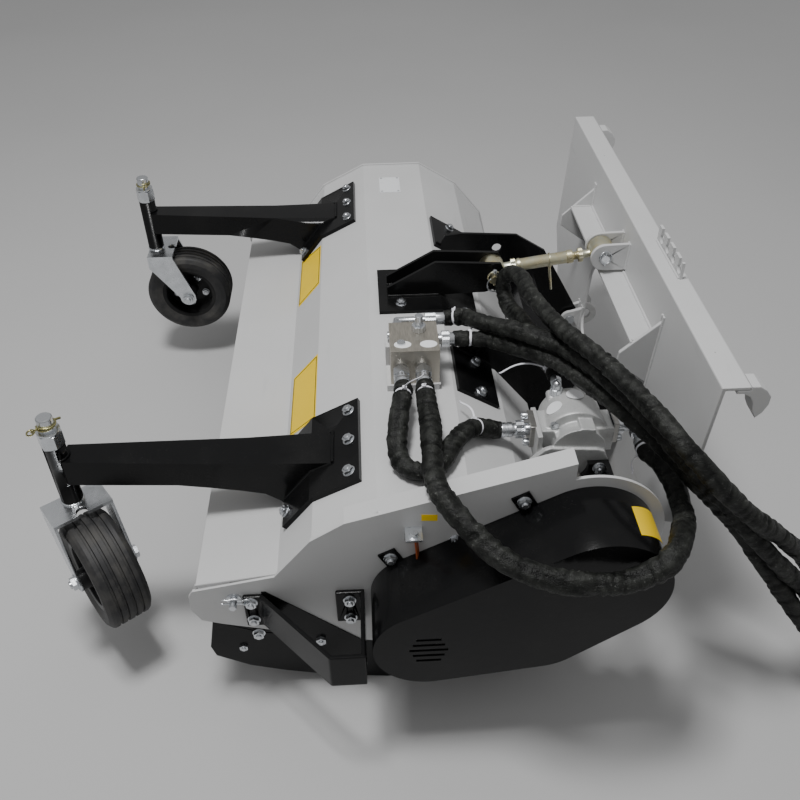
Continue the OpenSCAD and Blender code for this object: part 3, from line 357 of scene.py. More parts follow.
@dataclass(frozen=True)
class MilledSteel(Finish):
    """Bare milled steel with tool lines and a trace of oil."""

    lines: Place = (1.0, 14.0, 14.0)

    def inputs(self, net: Net) -> dict[int | str, object]:
        """Draw the tool lines along one axis and let oil darken patches."""
        tooling = net.clouds(60.0, 6.0, self.lines)
        oil = net.window(net.clouds(22.0, 5.0), 0.5, 0.72)
        metal = net.blend(net.window(tooling, 0.3, 0.7), self.shade(0.8), self.shade(1.12))
        return {
            "Base Color": net.blend(oil * 0.4, metal, self.shade(0.5)),
            "Metallic": 0.95 - oil * 0.2,
            "Roughness": self.varied(net, tooling, 0.3, 0.7, -0.06, 0.08) - oil * 0.08,
            "Normal": net.relief(tooling, 0.0002, 0.5),
        }


@dataclass(frozen=True)
class Rubber(Finish):
    """Moulded rubber with a dusty bloom."""

    bloom: float = 0.5

    def inputs(self, net: Net) -> dict[int | str, object]:
        """Dust the rubber and roughen its skin."""
        dust = net.window(net.clouds(24.0, 7.0), 0.42, 0.75) * self.bloom
        skin = net.clouds(420.0, 4.0)
        return {
            "Base Color": net.blend(dust, self.colour, (0.11, 0.105, 0.095)),
            "Roughness": self.roughness + dust * 0.25 - net.window(skin, 0.3, 0.7) * 0.08,
            "Specular IOR Level": 0.4,
            "Normal": net.relief(skin + net.clouds(90.0, 3.0), 0.0004, 0.6),
        }


@dataclass(frozen=True)
class Textile(Finish):
    """Woven protective sleeve: tight yarns, fuzz and grey dust in its folds, with painted glints and painted
    highlights on the crests of its folds.
    """

    def inputs(self, net: Net) -> dict[int | str, object]:
        """Weave the yarns from two crossed sets of fine cells."""
        yarn = net.cells(620.0, (1.0, 1.0, 0.55)) + net.cells(540.0, (0.6, 1.0, 1.0))
        fuzz = net.clouds(300.0, 6.0)
        dust = net.window(net.clouds(26.0, 6.0), 0.44, 0.74)
        folds = net.window(net.clouds(55.0, 5.0, (1.0, 0.45, 1.0)), 0.3, 0.7)
        crest = net.window(net.noted("crest"), 0.35, 0.95)
        cloth = net.blend(net.window(yarn, 0.3, 1.0), self.shade(1.8), self.shade(0.5))
        # Light grey specks painted as glints of the shiny fibres, stronger on the crests of the folds.
        glint_speck = net.window(net.clouds(190.0, 7.0), 0.58, 0.7) * net.window(net.clouds(21.0), 0.4, 0.62)
        # Crests of the folds made lighter: partly rubbed wear, partly a painted highlight where the folds catch the
        # light.
        rubbed_and_highlit = net.blend(crest * folds * 0.2, cloth, (0.15, 0.158, 0.14))
        worn = net.blend(dust * folds * 0.08, rubbed_and_highlit, (0.16, 0.165, 0.155))
        return {
            "Base Color": net.blend(glint_speck * (0.12 + crest * 0.3), worn, (0.22, 0.225, 0.21)),
            "Roughness": self.roughness + dust * 0.12 - net.window(fuzz, 0.3, 0.7) * 0.12,
            "Specular IOR Level": 0.22,
            "Normal": net.relief(fuzz * 0.5 - yarn * 0.4 + folds * 1.8, 0.0013, 0.9),
        }


@dataclass(frozen=True)
class Vinyl(Finish):
    """Plain sticker film or moulded nylon with light scuffs."""

    scuff: float = 0.25

    def inputs(self, net: Net) -> dict[int | str, object]:
        """Scuff and soil the film a little."""
        soil = net.window(net.clouds(28.0, 7.0), 0.5, 0.78) * self.scuff
        scratch = net.window(net.clouds(70.0, 8.0, (0.5, 2.5, 2.5)), 0.62, 0.72) * self.scuff
        return {
            "Base Color": net.blend(soil + scratch * 0.5, self.colour, self.shade(0.55)),
            "Roughness": self.roughness + soil * 0.5 + scratch * 0.4,
            "Specular IOR Level": 0.2,
            "Normal": net.relief(net.clouds(120.0, 3.0), 0.0002, 0.4),
        }


class Look(Enum):
    """The finishes of the mower."""

    HOOD = SatinPaint("grey_paint", "hood_paint", (0.565, 0.567, 0.567), 0.42)
    GLOSS = PowderCoat("gloss_black", "black_paint", (0.005, 0.0051, 0.0054), 0.2, 0.22)
    RIM = PowderCoat("wheel_black", "black_paint", (0.009, 0.009, 0.0095), 0.3, 0.6)
    SATIN = PowderCoat("satin_black", "rotor_black", (0.02, 0.02, 0.021), 0.42, 1.0)
    ZINC = Plating("bright_zinc", "zinc", (0.72, 0.74, 0.77), 0.27)
    OLIVE = Plating("olive_zinc", "gold_zinc", (0.42, 0.38, 0.16), 0.34, (0.36, 0.35, 0.2))
    GOLD = Plating("yellow_zinc", "gold_zinc", (0.86, 0.75, 0.44), 0.3, (0.72, 0.74, 0.62))
    ALLOY = CastAluminium("cast_body", "cast_alu", (0.6, 0.605, 0.6), 0.45)
    BLOCK = MilledSteel("milled_block", "steel", (0.50, 0.47, 0.41), 0.36)
    STEEL = MilledSteel("turned_steel", "steel", (0.42, 0.41, 0.39), 0.38, (14.0, 1.0, 14.0))
    BLADE = MilledSteel("flail_steel", "steel", (0.20, 0.19, 0.18), 0.5, (4.0, 4.0, 1.0))
    FLAP = Rubber("sheet_rubber", "flap_rubber", (0.018, 0.018, 0.018), 0.62)
    TYRE = Rubber("tyre_rubber", "tyre", (0.021, 0.021, 0.022), 0.6, 0.6)
    BELT = Rubber("belt_rubber", "belt", (0.02, 0.02, 0.02), 0.7, 0.3)
    SLEEVE = Textile("textile_sleeve", "hose_sleeve", (0.005, 0.0056, 0.005), 0.5)
    YELLOW = Vinyl("yellow_film", "hood_paint", (0.97, 0.66, 0.012), 0.45, 0.12)
    BLACK_FILM = Vinyl("black_film", "black_paint", (0.02, 0.02, 0.02), 0.4, 0.3)
    SILVER = Vinyl("silver_film", "zinc", (0.74, 0.755, 0.77), 0.3, 0.25)
    WHITE = Vinyl("white_film", "hood_paint", (0.80, 0.81, 0.82), 0.35, 0.2)
    NYLON = Vinyl("white_nylon", "hose_sleeve", (0.86, 0.86, 0.91), 0.4, 0.08)
    ORANGE = Vinyl("orange_strap", "belt", (0.42, 0.095, 0.03), 0.45, 0.5)


def aimed(origin: Sequence[float], along: Sequence[float], up: Sequence[float] = (0.0, 0.0, 1.0)) -> Matrix:
    """Give a place whose z axis points along a direction.

    Args:
        origin: The place, in millimetres.
        along: The direction of its z axis.
        up: A direction that its y axis leans towards.

    Returns:
        The matrix from the local frame to the drawing frame.
    """
    z = Vector(along).normalized()
    x = Vector(up).cross(z)
    if x.length < 1e-4:
        x = Vector((0.0, 1.0, 0.0)).cross(z)
    x.normalize()
    turned = Matrix((x, z.cross(x), z)).transposed().to_4x4()
    return Matrix.Translation(Vector(origin)) @ turned


def on_slope(fold: int, reach: float, x: float, lift: float = 0.0) -> Matrix:
    """Give a place on one of the hood's faces, z outwards and y up the slope.

    Args:
        fold: The face's first fold, counted along FOLDS.
        reach: The distance from that fold.
        x: The place across the mower.
        lift: The height above the sheet.

    Returns:
        The matrix of the place.
    """
    a, b = Vector(FOLDS[fold]), Vector(FOLDS[fold + 1])
    run = (b - a).normalized()
    out = Vector((0.0, -run.y, run.x))
    spot = Vector((x, a.x + run.x * reach, a.y + run.y * reach)) + out * lift
    turned = Matrix(((1.0, 0.0, 0.0), (0.0, run.x, run.y), out)).transposed().to_4x4()
    return Matrix.Translation(spot) @ turned


# Turns an outline in y and z into one that is pushed across the mower
SIDE_VIEW = Matrix(((0.0, 0.0, 1.0), (1.0, 0.0, 0.0), (0.0, 1.0, 0.0))).to_4x4()


def oblong(left: float, right: float, low: float, high: float) -> Outline:
    """Give the corners of an upright oblong."""
    return [(left, low), (right, low), (right, high), (left, high)]


class Mould:
    """A mesh under construction, in millimetres of the drawing frame."""

    def __init__(self, name: str) -> None:
        """Start an empty mesh."""
        self.name = name
        self.mesh = bmesh.new()

    def loft(self, rows: Sequence[Sequence[Vector]], caps: bool = True, ring: bool = False) -> None:
        """Skin closed rings of points.

        Args:
            rows: The rings, each with as many points.
            caps: Whether the first and last ring are closed with a face.
            ring: Whether the last ring joins the first.
        """
        made = [[self.mesh.verts.new(p) for p in row] for row in rows]
        count = len(made[0])
        spans = list(zip(made, made[1:])) + ([(made[-1], made[0])] if ring else [])
        for low, high in spans:
            for i in range(count):
                j = (i + 1) % count
                self.mesh.faces.new((low[i], low[j], high[j], high[i]))
        if caps and not ring:
            self.mesh.faces.new(tuple(reversed(made[0])))
            self.mesh.faces.new(tuple(made[-1]))

    def turned(self, place: Matrix, profile: Iterable[tuple[float, float]], sides: int = 28, lobes: float = 0.0,
               count: int = 0) -> None:
        """Spin a profile about the place's z axis.

        Args:
            place: Where it stands.
            profile: Radius and height of each ring, from the foot up.
            sides: Corners of each ring.
            lobes: Depth of knurls as a share of the radius.
            count: Number of knurls round it.
        """
        rows = []
        for radius, height in profile:
            row = []
            for a in around(sides):
                r = radius * (1.0 + (lobes * math.cos(a * count) if count else 0.0))
                row.append(place @ Vector((r * math.cos(a), r * math.sin(a), height)))
            rows.append(row)
        self.loft(rows)

    def hexagon(self, place: Matrix, across: float, low: float, high: float, both: bool = False) -> None:
        """Stand a hexagon with chamfered corners on a place.

        Args:
            place: Where it stands.
            across: Radius of its corners.
            low: Height of its foot.
            high: Height of its top.
            both: Whether its foot is chamfered too.
        """
        half_side = math.pi / 6
        flat = across * math.cos(half_side)
        shape = [(a, flat / math.cos((a + half_side) % (2 * half_side) - half_side)) for a in around(36)]
        drop = [(r - flat) * 0.55 for _, r in shape]

        def row(rule: Callable[[int, float], tuple[float, float]]) -> list[Vector]:
            """Lay one ring whose radius and height follow a rule."""
            out = []
            for i, (a, r) in enumerate(shape):
                radius, height = rule(i, r)
                out.append(place @ Vector((radius * math.cos(a), radius * math.sin(a), height)))
            return out

        rows = [row(lambda i, r: (flat * 0.97, low))] if both else []
        rows.append(row(lambda i, r: (r, low + (drop[i] if both else 0.0))))
        rows.append(row(lambda i, r: (r, high - drop[i])))
        rows.append(row(lambda i, r: (flat * 0.97, high)))
        self.loft(rows)

    def bolt(self, place: Matrix, radius: float = 6.0, grip: float = 8.0, dome: bool = False) -> None:
        """Set a hexagon bolt with its washer on a place.

        Args:
            place: Where it stands, z away from the plate.
            radius: Radius of the shank.
            grip: How deep the shank goes.
            dome: Whether the end of a stud stands out of the nut.
        """
        wash = radius * 0.3
        self.turned(place, [(radius, -grip), (radius, 0.0), (radius * 2.1, 0.0), (radius * 2.1, wash * 0.7),
                            (radius * 2.0, wash)])
        self.hexagon(place, radius * 1.8, wash, radius * 1.5)
        if dome:
            self.turned(place, [(radius, wash), (radius, radius * 1.9), (radius * 0.8, radius * 2.1)])
        else:
            tip = [(radius * 1.1, radius * 1.4), (radius * 1.05, radius * 1.53), (radius * 0.9, radius * 1.5)]
            self.turned(place, tip)

    def tube(self, points: Sequence[Sequence[float]], radius: "float | Callable[[float, float], float]",
             sides: int = 10, flat: tuple[float, float] | None = None, ring: bool = False,
             floor: float | None = None) -> None:
        """Sweep a round or flat section along a line.

        Args:
            points: The line.
            radius: The radius, or a rule for it from the length and the angle.
            sides: Corners of the section.
            flat: Width and thickness of a strap instead of a round section.
            ring: Whether the line is closed.
            floor: The lowest height that the skin may reach.
        """
        line = [Vector(p) for p in points]
        last = len(line) - 1
        rows, length, side = [], 0.0, None
        for k, here in enumerate(line):
            ahead = line[(k + 1) % len(line)] if ring or k < last else here
            behind = line[k - 1] if ring or k > 0 else here
            run = (ahead - behind).normalized()
            if side is None:
                side = run.cross(Vector((0.0, 0.0, 1.0)))
                side = side if side.length > 0.1 else run.cross(Vector((0.0, 1.0, 0.0)))
            side = (side - run * side.dot(run)).normalized()
            rise = side.cross(run)
            length += (here - line[k - 1]).length if k else 0.0
            row = []
            for a in around(sides):
                if flat:
                    bow = max(abs(math.cos(a)), abs(math.sin(a)))
                    across, up = math.cos(a) / bow * flat[0] / 2, math.sin(a) / bow * flat[1] / 2
                else:
                    r = radius(length, a) if callable(radius) else radius
                    across, up = math.cos(a) * r, math.sin(a) * r
                p = here + side * across + rise * up
                if floor is not None:
                    p.z = max(p.z, floor)
                row.append(p)
            rows.append(row)
        self.loft(rows, ring=ring)

    def hoop(self, place: Matrix, big: float, small: float, sweep: float = 360.0) -> None:
        """Bend a wire into a ring or an arc of one about the place's z axis."""
        whole = sweep >= 360.0
        count = 32
        steps = [math.radians(sweep) * i / (count if whole else count - 1) for i in range(count)]
        self.tube([place @ Vector((big * math.cos(a), big * math.sin(a), 0.0)) for a in steps], small, 8, ring=whole)

    def plate(self, place: Matrix, outline: Outline, low: float, high: float) -> None:
        """Stand a flat plate of an outline on a place."""
        self.loft([[place @ Vector((x, y, h)) for x, y in outline] for h in (low, high)])

    def bead(self, points: Sequence[Sequence[float]], size: float = 3.2, seed: int = 1) -> None:
        """Lay a rippled weld bead along a line."""
        line = [Vector(p) for p in points]
        fine = []
        for a, b in zip(line, line[1:]):
            steps = max(2, int((b - a).length / 1.6))
            fine += [a.lerp(b, i / steps) for i in range(steps)]
        fine.append(line[-1])
        rule = random.Random(seed)
        shift = rule.random() * 9.0

        def swell(length: float, angle: float) -> float:
            """Give the bead's radius where a drop of weld has set."""
            wave = abs(math.sin((length + shift + 0.8 * math.cos(angle)) * math.pi / 4.6))
            return size * (0.82 + 0.24 * wave + 0.05 * math.sin(length / 17.0 + shift))

        self.tube(fine, swell, 8)

    def melt(self, grain: float, rounds: int) -> None:
        """Run the mould's overlapping solids together into one casting with soft corners.

        Args:
            grain: Size of the new mesh's cells, in millimetres.
            rounds: How often the skin is smoothed.
        """
        bmesh.ops.recalc_face_normals(self.mesh, faces=self.mesh.faces)
        rough = bpy.data.meshes.new("rough")
        self.mesh.to_mesh(rough)
        self.mesh.free()
        lump = in_scene("lump", rough)
        remesh = lump.modifiers.new("remesh", "REMESH")
        remesh.mode = "VOXEL"
        remesh.voxel_size = grain
        smooth = lump.modifiers.new("smooth", "SMOOTH")
        smooth.factor = 0.5
        smooth.iterations = rounds
        done = bpy.data.meshes.new_from_object(lump.evaluated_get(bpy.context.evaluated_depsgraph_get()))
        self.mesh = bmesh.new()
        self.mesh.from_mesh(done)
        bpy.data.objects.remove(lump)
        bpy.data.meshes.remove(rough)
        bpy.data.meshes.remove(done)

    def cast(self, body: str, look: Look, replaces: Sequence[str] = (), smooth: float = 38.0,
             bevel: float = 0.0) -> bpy.types.Object:
        """Turn the mould into a dressed piece of the mower.

        Args:
            body: The moving body that carries it.
            look: Its finish.
            replaces: The solids that it stands for.
            smooth: The angle up to which edges are shaded smooth, in degrees.
            bevel: Width of the rounded edges, in millimetres.

        Returns:
            The new piece.
        """
        for vert in self.mesh.verts:
            vert.co = metres(vert.co)
        bmesh.ops.recalc_face_normals(self.mesh, faces=self.mesh.faces)
        data = bpy.data.meshes.new(self.name)
        self.mesh.to_mesh(data)
        self.mesh.free()
        data.shade_smooth()
        data.set_sharp_from_angle(angle=math.radians(smooth))
        piece = in_scene(self.name, data)
        data.materials.append(look.value.material())
        if bevel:
            round_edges(piece, bevel)
        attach(piece, body)
        if replaces:
            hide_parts(*replaces)
        log.info("%s on %s: %d faces, %s", self.name, body, len(data.polygons), look.value.name)
        return piece


def round_edges(piece: bpy.types.Object, width: float, angle: float = 40.0) -> None:
    """Round a piece's sharp edges so that they catch the light.

    Args:
        piece: The object.
        width: Width of the rounding, in millimetres.
        angle: The angle from which an edge is rounded, in degrees.
    """
    bevel = piece.modifiers.new("edges", "BEVEL")
    bevel.width = width / MM_PER_M
    bevel.segments = 2
    bevel.limit_method = "ANGLE"
    bevel.angle_limit = math.radians(angle)


# Long pleats of a sleeve: turns round the hose, length of a wave, depth as a share of the radius
PLEATS = ((2, 110.0, 0.15), (-3, 170.0, 0.11), (1, 29.0, 0.06))
SLEEVE_SIDES = 26
SLEEVE_STEP = 3.6
CURVE_STEPS = 14
# Length over which a sleeve narrows to its fitting
MOUTH = 14.0


@dataclass
class Hose:
    """A hydraulic hose in its textile sleeve, with its ties.

    Attributes:
        name: The piece's name.
        node: The solid that it replaces.
        route: The points that it follows, from its fitting on.
        diameter: Outside diameter of the sleeve.
        neck: Radius of the fitting's ferrule under the sleeve's mouth.
        ties: Length along the hose, angle and tail length of each cable tie.
        free: Whether its far end lies loose with a quick coupler.
        seed: Chooses its folds.
    """

    name: str
    node: str
    route: list[Place]
    diameter: float
    neck: float
    ties: list[tuple[float, float, float]]
    free: bool
    seed: int
    fine: list[Vector] = field(default_factory=list)
    marks: list[float] = field(default_factory=list)

    def __post_init__(self) -> None:
        """Work out the smooth centreline."""
        p = [Vector(q) for q in self.route]
        dense: list[Vector] = []
        for i in range(len(p) - 1):
            a, b, c, d = p[max(i - 1, 0)], p[i], p[i + 1], p[min(i + 2, len(p) - 1)]
            for k in range(CURVE_STEPS):
                t = k / CURVE_STEPS
                bow = (2 * a - 5 * b + 4 * c - d) * t * t
                dense.append(0.5 * (2 * b + (c - a) * t + bow + (3 * b - a - 3 * c + d) * t ** 3))
        dense.append(p[-1])
        walked = [0.0]
        for a, b in zip(dense, dense[1:]):
            walked.append(walked[-1] + (b - a).length)
        count = int(walked[-1] / SLEEVE_STEP)
        i = 0
        for k in range(count + 1):
            goal = walked[-1] * k / count
            while i < len(walked) - 2 and walked[i + 1] < goal:
                i += 1
            share = (goal - walked[i]) / max(walked[i + 1] - walked[i], 1e-9)
            self.fine.append(dense[i].lerp(dense[i + 1], share))
            self.marks.append(goal)

    def spot(self, length: float) -> tuple[Vector, Vector]:
        """Give the place and the direction at a length along the hose."""
        k = min(range(len(self.marks)), key=lambda i: abs(self.marks[i] - length))
        k = min(max(k, 1), len(self.fine) - 2)
        return self.fine[k], (self.fine[k + 1] - self.fine[k - 1]).normalized()

    def girth(self) -> Callable[[float, float], float]:
        """Give the rule of the sleeve's radius: gathered folds, pinched under each tie."""
        rule = random.Random(self.seed)
        end = self.marks[-1]
        creases = []
        s = rule.uniform(8.0, 20.0)
        while s < end:
            side, depth = rule.uniform(-math.pi, math.pi), rule.uniform(0.5, 1.0)
            creases.append((s, side, depth, rule.uniform(-1.0, 1.0), rule.uniform(3.0, 6.5)))
            s += rule.uniform(7.0, 19.0)
        phase = [rule.uniform(0.0, math.tau) for _ in range(4)]
        half = self.diameter / 2

        def radius(length: float, angle: float) -> float:
            """Give the radius at a length and an angle."""
            swell = 0.035 * math.sin(length / 23.0 + phase[0] + 0.8 * math.sin(angle + phase[1]))
            swell += 0.03 * math.sin(2.0 * angle + length / 31.0 + phase[2])
            for k, (turns, pitch, deep) in enumerate(PLEATS):
                drift = 1.2 * math.sin(length / 47.0 + phase[3 - k])
                wave = 0.5 * (turns * angle + length / pitch * 2.0 + phase[k] + drift)
                swell += deep * (0.45 - (1.0 - abs(math.sin(wave))) ** 3)
            for at, side, depth, lean, wide in creases:
                gap = length - at - lean * 9.0 * math.sin(angle - side)
                if abs(gap) < wide * 2.4:
                    reach = 0.5 + 0.5 * math.cos(angle - side)
                    swell -= 0.16 * depth * reach * math.exp(-(gap / wide) ** 2)
                    swell += 0.09 * depth * reach * math.exp(-((gap - wide * 1.5) / wide) ** 2)
            r = half * (0.985 + swell)
            for at, _, _ in self.ties:
                r -= (r - half * 0.86) * math.exp(-((length - at) / 4.5) ** 2)
            for gap in (length, end - length):
                if gap < MOUTH:
                    r = (self.neck + 1.6) + (r - self.neck - 1.6) * max(gap, 0.0) / MOUTH
            return r

        return radius

    def tie(self, index: int, at: float, angle: float, tail: float) -> bpy.types.Object:
        """Close one cable tie round the sleeve.

        Args:
            index: Its number on this hose.
            at: The length along the hose.
            angle: Where its head sits round the hose, in degrees.
            tail: Length of the loose tail.

        Returns:
            The tie.
        """
        here, run = self.spot(at)
        place = aimed(here, run)
        r = self.diameter / 2 * 0.86
        mould = Mould(f"{self.name}_tie_{index}")
        mould.turned(place, [(r - 2.0, -2.5), (r + 1.0, -2.5), (r + 1.3, -2.0), (r + 1.3, 2.0), (r + 1.0, 2.5),
                             (r - 2.0, 2.5)], 40)
        a = math.radians(angle)
        out = Vector((math.cos(a), math.sin(a), 0.0))
        sideways = Vector((-math.sin(a), math.cos(a), 0.0))
        head = Matrix((sideways, (0.0, 0.0, 1.0), out)).transposed().to_4x4()
        foot = place @ Matrix.Translation(out * (r + 1.0)) @ head
        mould.plate(foot, [(-4, -3.6), (4, -3.6), (4, 3.6), (-4, 3.6)], -0.6, 4.6)
        steps = 14
        line = []
        for k in range(steps + 1):
            t = k / steps
            bend = 1.1 * t * t
            reach = r + 2.4 + tail * (0.75 * t + 0.1 * math.sin(3.0 * t))
            line.append(place @ (out * reach + sideways * (-tail * 0.42 * math.sin(bend * 1.6))
                                 + Vector((0.0, 0.0, tail * 0.16 * math.sin(2.6 * t)))))
        mould.tube(line, 1.0, 8, flat=(3.6, 1.2))
        return mould.cast("mower", Look.NYLON)

    def coupler(self) -> bpy.types.Object:
        """Screw a quick coupler on the loose end."""
        tip, run = self.fine[-1], (self.fine[-1] - self.fine[-3]).normalized()
        run.z = 0.0
        place = aimed(tip, run)
        r = self.neck
        mould = Mould(self.name + "_coupler")
        mould.turned(place, [(r - 1.5, -10), (r - 1.5, 2), (r - 0.4, 3), (r - 0.4, 7), (r - 1.8, 8), (r - 1.8, 12),
                             (r - 0.4, 13), (r - 0.4, 17), (r - 1.8, 18), (r - 1.8, 30)])
        mould.hexagon(place, r + 1.0, 30, 52, both=True)
        mould.turned(place, [(r - 2.0, 52), (r + 0.2, 53), (r + 0.2, 58), (r - 1.2, 59), (r - 1.2, 62)])
        mould.turned(place, [(r - 0.8, 61), (r + 0.2, 62), (r + 0.2, 82), (r - 1.0, 84)], 72, 0.018, 24)
        mould.turned(place, [(r - 2.0, 84), (r - 2.2, 86), (r - 2.2, 90), (r - 5.0, 93), (r - 5.0, 98)])
        return mould.cast("mower", Look.ZINC, ["hose_couplers"])

    def make(self) -> None:
        mould = Mould(self.name)
        mould.tube(self.fine, self.girth(), SLEEVE_SIDES, floor=0.4)
        sleeve = mould.cast("mower", Look.SLEEVE, [self.node], 70.0)
        crest = sleeve.data.attributes.new("crest", "FLOAT", "POINT")
        half = self.diameter / 2 / MM_PER_M
        for index, vert in enumerate(sleeve.data.vertices):
            reach = (vert.co - metres(self.fine[index // SLEEVE_SIDES])).length / half
            crest.data[index].value = (reach - 0.8) / 0.35
        pieces = [self.tie(index, *tie) for index, tie in enumerate(self.ties)]
        if self.free:
            pieces.append(self.coupler())


HOSES = [
    Hose("pressure_sleeve", "pressure_hose", [
        (240, 74, 583), (240, 92, 584), (252, 118, 592), (287, 145, 603), (339, 213, 614), (396, 281, 616),
        (478, 339, 612), (566, 393, 595), (628, 428, 577), (664, 460, 553), (692, 498, 517), (710, 543, 470),
        (729, 596, 410), (735, 646, 353), (732, 702, 291), (731, 760, 222), (726, 824, 150), (722, 890, 86),
        (718, 960, 42), (712, 1030, 21), (704, 1100, 17), (692, 1170, 17), (676, 1240, 17), (656, 1306, 17)],
        32.0, 14.0, [(20.0, 60.0, 7.0)], True, 3),
    Hose("return_sleeve", "return_hose", [
        (297, 89, 572), (297, 106, 572), (306, 161, 571), (343, 215, 576), (405, 283, 580), (488, 342, 572),
        (558, 401, 552), (606, 444, 528), (636, 481, 496), (659, 522, 458), (677, 570, 408), (708, 621, 342),
        (728, 668, 280), (752, 715, 216), (764, 764, 156), (776, 820, 98), (786, 884, 50), (794, 950, 25),
        (798, 1020, 17), (798, 1090, 17), (794, 1160, 17), (786, 1230, 17), (774, 1296, 17)],
        32.0, 14.0, [(34.0, 30.0, 22.0)], True, 8),
    Hose("drain_sleeve", "drain_hose", [
        (398, 278, 541), (374, 278, 541), (330, 270, 539), (278, 262, 540), (221, 254, 541), (176, 246, 534),
        (138, 238, 522), (106, 230, 522), (82, 224, 536), (74, 222, 564), (86, 229, 588), (124, 239, 611),
        (180, 246, 627), (247, 249, 634), (384, 279, 652), (488, 331, 654), (592, 376, 649), (662, 405, 641),
        (707, 432, 622), (735, 468, 589), (744, 515, 538), (743, 573, 481), (724, 632, 420), (703, 697, 348),
        (690, 756, 266), (682, 812, 190), (672, 872, 118), (660, 936, 63), (646, 1000, 30), (630, 1066, 18),
        (610, 1130, 17), (586, 1192, 17), (558, 1250, 17)],
        32.0, 12.0, [(26.0, 25.0, 105.0)], True, 15),
    Hose("feed_sleeve", "motor_feed_hose", [
        (418, -22, 552), (440, -22, 552), (500, -32, 546), (546, -39, 532), (580, -38, 521), (606, -26, 517),
        (618, 2, 517), (607, 30, 517), (580, 48, 518), (548, 66, 519), (518, 88, 517), (494, 112, 506),
        (480, 134, 490), (474, 151, 480), (474, 165, 478)],
        34.0, 15.0, [(24.0, 80.0, 70.0), (404.0, 40.0, 60.0)], False, 21),
    Hose("back_sleeve", "motor_return_hose", [
        (418, 21, 552), (480, 21, 553), (560, 22, 555), (640, 18, 553), (700, 24, 552), (760, 56, 542),
        (812, 97, 527), (842, 143, 512), (863, 202, 504), (868, 260, 499), (864, 308, 496), (857, 344, 502),
        (847, 378, 523), (808, 407, 521), (764, 430, 494), (716, 452, 467), (664, 464, 453), (618, 465, 458),
        (580, 452, 469), (560, 436, 476), (548, 428, 478), (536, 427, 478)],
        36.0, 15.5, [(24.0, 100.0, 8.0), (1080.0, 300.0, 64.0)], False, 34),
]


# Places of fixings on a face, as two coordinates
Spots = tuple[tuple[float, float], ...]


@dataclass
class Fasteners:
    """Bolts and nuts on the hood, the pads and the plates.

    Attributes:
        pad: Thickness of the arms' pads.
        bracket_pad: Thickness of the pads of the clevis and the rear brackets.
        bracket: Place across and up the rear slope of a rear bracket's bolts.
        bumper: y and z of the bumper's bolts; skid, tabs and low_skid are alike.
    """

    pad: float = 10.0
    bracket_pad: float = 8.0
    bracket: Spots = ((347, 64), (245, 64))
    bumper: Spots = ((-320, 286), (-320, 235), (-138, 279), (-138, 227))
    skid: Spots = ((-318, 180), (-200, 151), (60, 158), (160, 158))
    tabs: Spots = ((-60, 389), (170, 519))
    low_skid: Spots = ((-354, 129), (-121, 59))

    def hood(self) -> None:
        """Bolt the arms, brackets, clevis and motor down."""
        mould = Mould("hood_fixings")
        for side in (-1, 1):
            for slope, reach, gaps in ((UPPER_SLOPE, 83, (-85, 0, 85)), (FRONT_SLOPE, 35, (-82, 82))):
                for gap in gaps:
                    mould.bolt(on_slope(slope, reach, side * ARM_X + gap, self.pad), dome=True)
            for x, reach in self.bracket:
                mould.bolt(on_slope(REAR_SLOPE, reach, side * x, self.bracket_pad), dome=True)
        for x in (-60, 60):
            mould.bolt(aimed((x, -6, TOP_Z + self.bracket_pad), UPWARDS), dome=True)
            mould.bolt(on_slope(REAR_SLOPE, 60, x, self.bracket_pad), dome=True)
        for y in (232, 344):
            mould.bolt(aimed((524, y, 440), (-1, 0, 0)))
            mould.bolt(aimed((550, y, 440), ACROSS), grip=2.0, dome=True)
        mould.cast("mower", Look.ZINC, ["hood_bolts"])

    def plates(self) -> None:
        """Bolt the skids, bumper, guard tabs and bearings on."""
        mould = Mould("plate_fixings")
        for y, z in self.bumper:
            mould.bolt(aimed((708, y, z), ACROSS), dome=True)
        for y, z in self.skid:
            for side in (1, -1):
                mould.bolt(aimed((side * HOOD_SIDE, y, z), (side, 0, 0)), dome=True)
        for y, z in self.tabs:
            mould.bolt(aimed((704, y, z), ACROSS), dome=True)
        for y, z in self.low_skid:
            mould.bolt(aimed((692, y, z), ACROSS), 5.0, 3.0, dome=True)
        for a in around(4, 45, 90):
            for side in (-1, 1):
                mould.bolt(aimed((side * 710, 52 * math.sin(a), ROTOR_Z + 52 * math.cos(a)), (side, 0, 0)))
        mould.cast("mower", Look.ZINC, ["plate_bolts"])

    def make(self) -> None:
        """Make all the fixings."""
        self.hood()
        self.plates()


